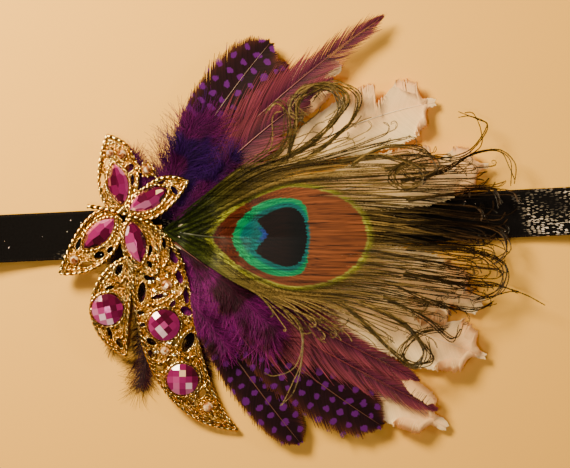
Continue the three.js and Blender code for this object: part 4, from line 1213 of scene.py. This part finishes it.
def twisted(line, rope, closed=False):
    """A cast rope along a line on the brooch: a section with two lobes that turns as it goes."""
    length = sum((b - a).length for a, b in zip(line, line[1:]))
    count = max(4, round(length / ROPE_STEP))
    points = [on_brooch(point, rope["lift"]) for point in even_points(line, count + 1)]
    turns = max(1, round(length / rope["pitch"]))

    def radius_at(step, angle):
        lobes = math.cos(2 * angle - 2 * math.pi * turns * step / count)
        return rope["radius"] * MM * (1 + rope["lobe"] * lobes)

    bm = tube(points, radius_at, 8, closed)
    # The relief, -1 in the grooves and 1 on the lobes, lets the gilt paint shade into the grooves.
    for vertex in bm.verts:
        vertex[bm.verts.layers.float["relief"]] *= 1 / (rope["radius"] * MM * rope["lobe"])
        vertex[bm.verts.layers.float["relief"]] -= 1 / rope["lobe"]
    return bm


def turned_by(point, row):
    turn = math.radians(row.get("turn", 0))
    cosine, sine = math.cos(turn), math.sin(turn)
    spun = Vector((point[0] * cosine - point[1] * sine, point[0] * sine + point[1] * cosine))
    return spun + Vector(row["at"])


def marquise_point(angle, grow):
    """A point of a marquise outline: two arcs that meet at its ends."""
    half = MARQUISE_LENGTH / 2 + grow * 1.5
    depth = MARQUISE_WIDTH / 2 + grow
    radius = (half * half + depth * depth) / (2 * depth)
    sweep = math.asin(half / radius)
    share = (angle % math.pi) / math.pi * 2 - 1
    side = 1 if angle % (2 * math.pi) < math.pi else -1
    out = radius * math.cos(sweep * share) - radius + depth
    return (-side * radius * math.sin(sweep * share), side * out)


def ring_round(row, radius):
    angles = [2 * math.pi * step / 36 for step in range(37)]
    return [turned_by((radius * math.cos(angle), radius * math.sin(angle)), row) for angle in angles]


def in_marquise(row, point, grow):
    offset = point - Vector(row["at"])
    turn = -math.radians(row["turn"])
    across = abs(offset.x * math.sin(turn) + offset.y * math.cos(turn))
    along = abs(offset.x * math.cos(turn) - offset.y * math.sin(turn))
    return along / (MARQUISE_LENGTH / 2 + grow) + across / (MARQUISE_WIDTH / 2 + grow) * 0.8 < 1.1


def clear_of_openings(point, grow):
    for x, y, length, width, turn in OPENINGS:
        offset = Matrix.Rotation(-math.radians(turn), 2) @ (point - Vector((x, y)))
        half_long = length * OPENING_GROWTH / 2 + grow
        half_wide = width * OPENING_GROWTH / 2 + grow
        if math.hypot(offset.x / half_long, offset.y / half_wide) < 1:
            return False
    return True


def is_free(point, grow):
    """Whether a point on the plate is clear of stones, settings and openings."""
    if any(in_marquise(row, point, grow) for row in MARQUISES):
        return False
    if any((point - Vector(row["at"])).length < ROUND_DIAMETER / 2 + grow for row in ROUNDS):
        return False
    if any((point - Vector(row["at"])).length < row["across"] / 2 + grow for row in CHATONS):
        return False
    return clear_of_openings(point, 0.35)


def add_bead(bm, point, lift, radius, flat=1.0):
    place = Matrix.Translation(on_brooch(point, lift)) @ Matrix.Diagonal((1, 1, flat, 1))
    bmesh.ops.create_icosphere(bm, subdivisions=1, radius=radius * MM, matrix=place)


def brooch_ropes():
    parts = []
    for leaf, outline in zip(LEAVES, LEAF_OUTLINES):
        for side, inward in (("left", -1), ("right", 1)):
            edge = [leaf_point(leaf, side, step / 40) for step in range(41)]
            parts.append(twisted(edge, RIM_ROPE))
            runs = [[]]
            for before, point, after in zip(edge, edge[1:], edge[2:]):
                heading = (after - before).normalized()
                moved = point + Vector((-heading.y, heading.x)) * inward * INNER_OFFSET
                if inside_leaf(outline, moved, INNER_OFFSET * 0.9) and is_free(moved, 0.7):
                    runs[-1].append(moved)
                elif runs[-1]:
                    runs.append([])
            parts += [twisted(run, INNER_ROPE) for run in runs if len(run) > 3]
    parts.append(twisted([Vector(point) for point in BODY_LINE], BODY_ROPE))
    for x, y, length, width, turn in OPENINGS:
        half_long = length * OPENING_GROWTH / 2 + 0.15
        half_wide = width * OPENING_GROWTH / 2 + 0.15
        ring = [(half_long * math.cos(math.pi * step / 12), half_wide * math.sin(math.pi * step / 12))
                for step in range(25)]
        row = {"at": (x, y), "turn": turn}
        parts.append(twisted([turned_by(point, row) for point in ring], OPENING_ROPE, True))
    for points in SCROLLS:
        spline = [Vector(point) for point in points]
        parts.append(twisted([smooth_point(spline, step / 12) for step in range(13)], SCROLL_ROPE))
    grow = STONE_CLEARANCE + BEZEL_WALL / 2
    for row in MARQUISES:
        outline = [turned_by(marquise_point(2 * math.pi * step / 40, grow), row) for step in range(41)]
        parts.append(twisted(outline, BEZEL_ROPE, True))
    for row in ROUNDS:
        parts.append(twisted(ring_round(row, ROUND_DIAMETER / 2 + grow), BEZEL_ROPE, True))
    return joined(parts, True)


def brooch_plate():
    """A fine grid cut to the leaves and the openings, given its thickness and its dome."""
    bm = bmesh.new()
    place = Matrix.Translation((*PLATE_MIDDLE, 0)) @ Matrix.Diagonal((*PLATE_HALF, 1, 1))
    columns, rows = (round(2 * half / PLATE_CELL) for half in PLATE_HALF)
    bmesh.ops.create_grid(bm, x_segments=columns, y_segments=rows, size=1, matrix=place)
    gone = []
    for face in bm.faces:
        point = face.calc_center_median().xy
        on_leaf = any(inside_leaf(outline, point, 0) for outline in LEAF_OUTLINES)
        cup = any((point - Vector(row["at"])).length < row["across"] / 2 + 0.7 for row in CHATONS)
        if not cup and not (on_leaf and clear_of_openings(point, 0)):
            gone.append(face)
    bmesh.ops.delete(bm, geom=gone, context="FACES")
    edge = [vertex for vertex in bm.verts if vertex.is_boundary]
    for _ in range(3):
        bmesh.ops.smooth_vert(bm, verts=edge, factor=0.5, use_axis_x=True, use_axis_y=True)
    walls = bmesh.ops.extrude_face_region(bm, geom=bm.faces[:])
    lower = [item for item in walls["geom"] if isinstance(item, bmesh.types.BMVert)]
    bmesh.ops.translate(bm, verts=lower, vec=(0, 0, PLATE_THICKNESS))
    for vertex in bm.verts:
        vertex.co = on_brooch(vertex.co.xy, vertex.co.z)
    bmesh.ops.recalc_face_normals(bm, faces=bm.faces)
    return bm


def brooch_petals():
    """Small domed leaves with a crease down the middle."""
    bm = bmesh.new()
    for x, y, length, width, turn in PETALS:
        made = bmesh.ops.create_uvsphere(bm, u_segments=12, v_segments=8, radius=1)
        for vertex in made["verts"]:
            along, across, up = vertex.co
            pinch = 1 - 0.55 * along ** 2
            crease = 0.3 * (1 - min(1, abs(across) * 3))
            point = turned_by((along * length / 2, across * pinch * width / 2), {"at": (x, y), "turn": turn})
            vertex.co = on_brooch(point, PETAL_LIFT + up * 0.8 - crease)
    for face in bm.faces:
        face.smooth = True
    return bm


def brooch_granules():
    draw = random.Random(21)
    bm = bmesh.new()
    for row in CHATONS:
        for point in ring_round(row, row["across"] / 2 + 0.75)[:-1:4]:
            add_bead(bm, point, 2.2, 0.5)
    made = 0
    while made < GRANULES:
        number = draw.choice((0, 1, 2, 3, 4, 4, 5, 5, 5, 5, 5))
        leaf = LEAVES[number]
        reach = leaf["length"] * 0.8
        middle = (leaf_point(leaf, "left", 0.5) + leaf_point(leaf, "right", 0.5)) / 2
        point = middle + Vector((draw.uniform(-reach, reach), draw.uniform(-reach, reach)))
        if inside_leaf(LEAF_OUTLINES[number], point, 0.9) and is_free(point, 0.9):
            add_bead(bm, point, PLATE_THICKNESS + draw.uniform(0, 0.25), draw.uniform(0.2, 0.36))
            made += 1
    for face in bm.faces:
        face.smooth = True
    return bm


def gilt_tone():
    """Shared by all the gilt pieces: the plating pales in cloudy patches, and is painted darker in the
    hollows of the grain and in the grooves of the ropes, as painted shade.
    """
    group = bpy.data.node_groups.new("gilt_tone", "ShaderNodeTree")
    for label, kind in (("Gilding", "NodeSocketColor"), ("High spots", "NodeSocketColor"),
                        ("Scale", "NodeSocketFloat"), ("Depth", "NodeSocketFloat")):
        group.interface.new_socket(name=label, in_out="INPUT", socket_type=kind)
    for label, kind in (("Colour", "NodeSocketColor"), ("Height", "NodeSocketFloat")):
        group.interface.new_socket(name=label, in_out="OUTPUT", socket_type=kind)
    given = group.nodes.new("NodeGroupInput").outputs
    place = place_node(group, "ShaderNodeTexCoord").outputs["Object"]
    cells = place_node(group, "ShaderNodeTexVoronoi", {"Vector": place, "Scale": given["Scale"]})
    cloud = cloudy(group, place, 420.0, 3.0)
    grain = maths(group, "SUBTRACT", 1.0, cells.outputs["Distance"])
    # The hollows between grains, and below them the grooves of the ropes, are painted darker: painted shade.
    painted_hollow_shade = maths(group, "MULTIPLY", eased(group, grain, 0.62, 0.3), given["Depth"])
    relief = place_node(group, "ShaderNodeAttribute", attribute_name="relief").outputs["Fac"]
    painted_hollow_shade = maths(group, "MAXIMUM", painted_hollow_shade, maths(group, "MULTIPLY", eased(group, relief, -0.05, -0.8), 0.9))
    colour = mixed(group, eased(group, cloud, 0.42, 0.7), given["Gilding"], given["High spots"])
    colour = mixed(group, painted_hollow_shade, colour, GILT_PAINTED_SHADE)
    result = group.nodes.new("NodeGroupOutput").inputs
    group.links.new(colour, result["Colour"])
    group.links.new(grain, result["Height"])
    return group


GILT_TONE = gilt_tone()


def gilt(name, gilding, high_spots, scale, depth, relief, roughness):
    material, shader = new_finish(name, gilding, roughness, 1.0)
    tree = material.node_tree
    tone = tree.nodes.new("ShaderNodeGroup")
    tone.node_tree = GILT_TONE
    tone.inputs["Gilding"].default_value = (*gilding, 1)
    tone.inputs["High spots"].default_value = (*high_spots, 1)
    tone.inputs["Scale"].default_value = scale
    tone.inputs["Depth"].default_value = depth
    tree.links.new(tone.outputs["Colour"], shader.inputs["Base Color"])
    bump = place_node(tree, "ShaderNodeBump", {"Height": tone.outputs["Height"], "Strength": relief,
                                                "Distance": 0.25 * MM})
    tree.links.new(bump.outputs[0], shader.inputs["Normal"])
    return material


rope_finish = gilt("gilt_rope", GILT, GILT_PALE, 2200.0, 0.1, 0.15, 0.2)
# The plate's gilding is darker than the ropes': painted shade for the plate lying deeper between them.
plate_finish = gilt("gilt_plate", PLATE_GILT_IN_PAINTED_SHADE, GILT, 1500.0, 0.95, 0.8, 0.38)
# The petals are gilded near white: a painted highlight.
petal_highlight_finish = gilt("gilt_painted_highlight", GILT_PALE, PETAL_PAINTED_HIGHLIGHT, 900.0, 0.1, 0.1, 0.16)
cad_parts["brooch_bar"].data.materials.clear()
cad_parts["brooch_bar"].data.materials.append(plate_finish)
plate = finished("pierced_plate", brooch_plate(), plate_finish)
ropes = finished("gilt_ropes", brooch_ropes(), rope_finish)
granules = finished("gilt_granules", brooch_granules(), rope_finish)
petals = finished("bright_petals", brooch_petals(), petal_highlight_finish)
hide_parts("brooch_frame")
for piece in (plate, ropes, granules, petals):
    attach(piece, "root")

# The stones: four marquises and three round checkerboard cuts of pink glass, foiled behind, and seven
# small round brilliants of paler glass. The pink stones' facets are painted lighter where they face the
# lower left, as painted light, with random tone besides, and a few carry painted glints and painted warm
# reflections. The small stones take a random shade in each cell.
STONE_SEAT = PLATE_THICKNESS + STONE_CLEARANCE
# From the darkest facet to the lightest; above 0.8 lie the painted glint and, at 1.0, the painted warm
# reflection.
FOIL_AND_PAINTED_LIGHT_SHADES = [(0.0, (0.03, 0.001, 0.008)), (0.35, (0.12, 0.003, 0.04)), (0.58, (0.30, 0.014, 0.14)),
               (0.78, (0.52, 0.07, 0.28)), (0.92, (0.95, 0.62, 0.82)), (1.0, (0.98, 0.60, 0.34))]
BLUSH_SHADES = [(0.0, (0.16, 0.030, 0.006)), (0.5, (0.56, 0.22, 0.075)), (1.0, (1.0, 0.74, 0.48))]


def cut_facet(bm, point, normal):
    """One facet ground flat: what stands over its plane goes, and the cut is closed."""
    whole = [*bm.verts, *bm.edges, *bm.faces]
    made = bmesh.ops.bisect_plane(
        bm, geom=whole, plane_co=point, plane_no=normal, clear_outer=True, dist=1e-5)
    edges = [item for item in made["geom_cut"] if isinstance(item, bmesh.types.BMEdge)]
    bmesh.ops.holes_fill(bm, edges=edges, sides=0)


def set_stone(bm, row):
    """A stone cut in millimetres, turned and set in its bezel, with a number for each facet that picks its
    colour: painted light, higher where the facet faces the lower left, with random tone, and highest where
    painted glints and warm painted reflections go.
    """
    facet = bm.faces.layers.float.new("facet")
    draw = random.Random(row["name"])
    for vertex in bm.verts:
        point = turned_by(vertex.co, row)
        vertex.co = on_brooch(point, STONE_SEAT + vertex.co.z)
    bmesh.ops.recalc_face_normals(bm, faces=bm.faces)
    for face in bm.faces:
        # Facets that face the lower left are painted lighter: painted light, with random tone besides.
        toward = face.normal.dot(Vector((-0.55, -0.83, 0)))
        face[facet] = min(0.8, max(0, 0.45 + 0.6 * toward + draw.uniform(-0.25, 0.25)))
    upward = [face for face in bm.faces if face.normal.z > 0.5]
    # The facets nearest the bright points carry a painted glint, and those nearest the warm points a painted
    # warm reflection.
    for points, shade in ((row["bright"], 0.9), (row["warm"], 1.0)):
        for point in points:
            place = on_brooch(Vector(point), STONE_SEAT + STONE_HEIGHT)
            min(upward, key=lambda face: (face.calc_center_median().xy - place.xy).length)[facet] = shade
    return bm


def marquise_cut():
    bm = bmesh.new()
    bmesh.ops.create_cone(bm, cap_ends=True, segments=32, radius1=1, radius2=1, depth=2)
    for vertex in bm.verts:
        x, y = marquise_point(math.atan2(vertex.co.y, vertex.co.x) + 2 * math.pi, 0)
        vertex.co = Vector((x, y, STONE_HEIGHT if vertex.co.z > 0 else 0))
    for level, tilt, angles in ((0.9, 44, (-50, -28, -9, 9, 28, 50)), (1.75, 27, (-38, -15, 15, 38))):
        for side in (90, 270):
            for angle in angles:
                turn = math.radians(side + angle)
                cosine, sine = math.cos(turn), math.sin(turn)
                far = max(v.co.x * cosine + v.co.y * sine for v in bm.verts if v.co.z < 0.1)
                inset = 0 if level < 1 else 0.9
                point = Vector((cosine, sine, 0)) * (far - inset) + Vector((0, 0, level))
                slope = math.radians(tilt)
                normal = Vector((cosine * math.sin(slope), sine * math.sin(slope), math.cos(slope)))
                cut_facet(bm, point, normal)
    cut_facet(bm, Vector((0, 0, STONE_HEIGHT - 0.15)), Vector((0.05, 0.03, 1)))
    return bm


def checker_cut():
    dome = 9.5
    spacing = 2.1
    bm = bmesh.new()
    radius = ROUND_DIAMETER / 2
    bmesh.ops.create_cone(bm, cap_ends=True, segments=32, radius1=radius, radius2=radius, depth=STONE_HEIGHT)
    bmesh.ops.translate(bm, verts=bm.verts, vec=(0, 0, STONE_HEIGHT / 2))
    for column in range(-2, 3):
        for line in range(-2, 3):
            x, y = column * spacing, line * spacing
            if math.hypot(x, y) > radius:
                continue
            height = STONE_HEIGHT - (x * x + y * y) / (2 * dome)
            cut_facet(bm, Vector((x, y, height)), Vector((x / dome, y / dome, 1)))
    return bm


def foiled_glass(name, shades, facet_attribute):
    material, shader = new_finish(name, shades[2][1], 0.06, 0.35)
    tree = material.node_tree
    if facet_attribute:
        shade = place_node(tree, "ShaderNodeAttribute", attribute_name="facet").outputs["Fac"]
    else:
        place = place_node(tree, "ShaderNodeTexCoord").outputs["Object"]
        cells = place_node(tree, "ShaderNodeTexVoronoi", {"Vector": place, "Scale": 900.0})
        shade = place_node(tree, "ShaderNodeSeparateColor", {0: cells.outputs["Color"]}).outputs[0]
    tree.links.new(ramp(tree, shade, shades), shader.inputs["Base Color"])
    shader.inputs["Coat Weight"].default_value = 1.0
    shader.inputs["Coat Roughness"].default_value = 0.03
    return material


def ramp(tree, factor, stops):
    node = place_node(tree, "ShaderNodeValToRGB", {"Fac": factor})
    elements = node.color_ramp.elements
    elements.remove(elements[-1])
    elements[0].position, elements[0].color = stops[0][0], (*stops[0][1], 1)
    for position, colour in stops[1:]:
        elements.new(position).color = (*colour, 1)
    return node.outputs["Color"]


pink_glass = foiled_glass("pink_glass", FOIL_AND_PAINTED_LIGHT_SHADES, True)
blush_glass = foiled_glass("blush_glass", BLUSH_SHADES, False)
for row in MARQUISES + ROUNDS:
    cut = marquise_cut() if row in MARQUISES else checker_cut()
    stone = finished(row["name"], set_stone(cut, row), pink_glass)
    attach(stone, "root")
    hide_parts(row["node"])
for row in CHATONS:
    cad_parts[row["node"]].data.materials.clear()
    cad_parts[row["node"]].data.materials.append(blush_glass)
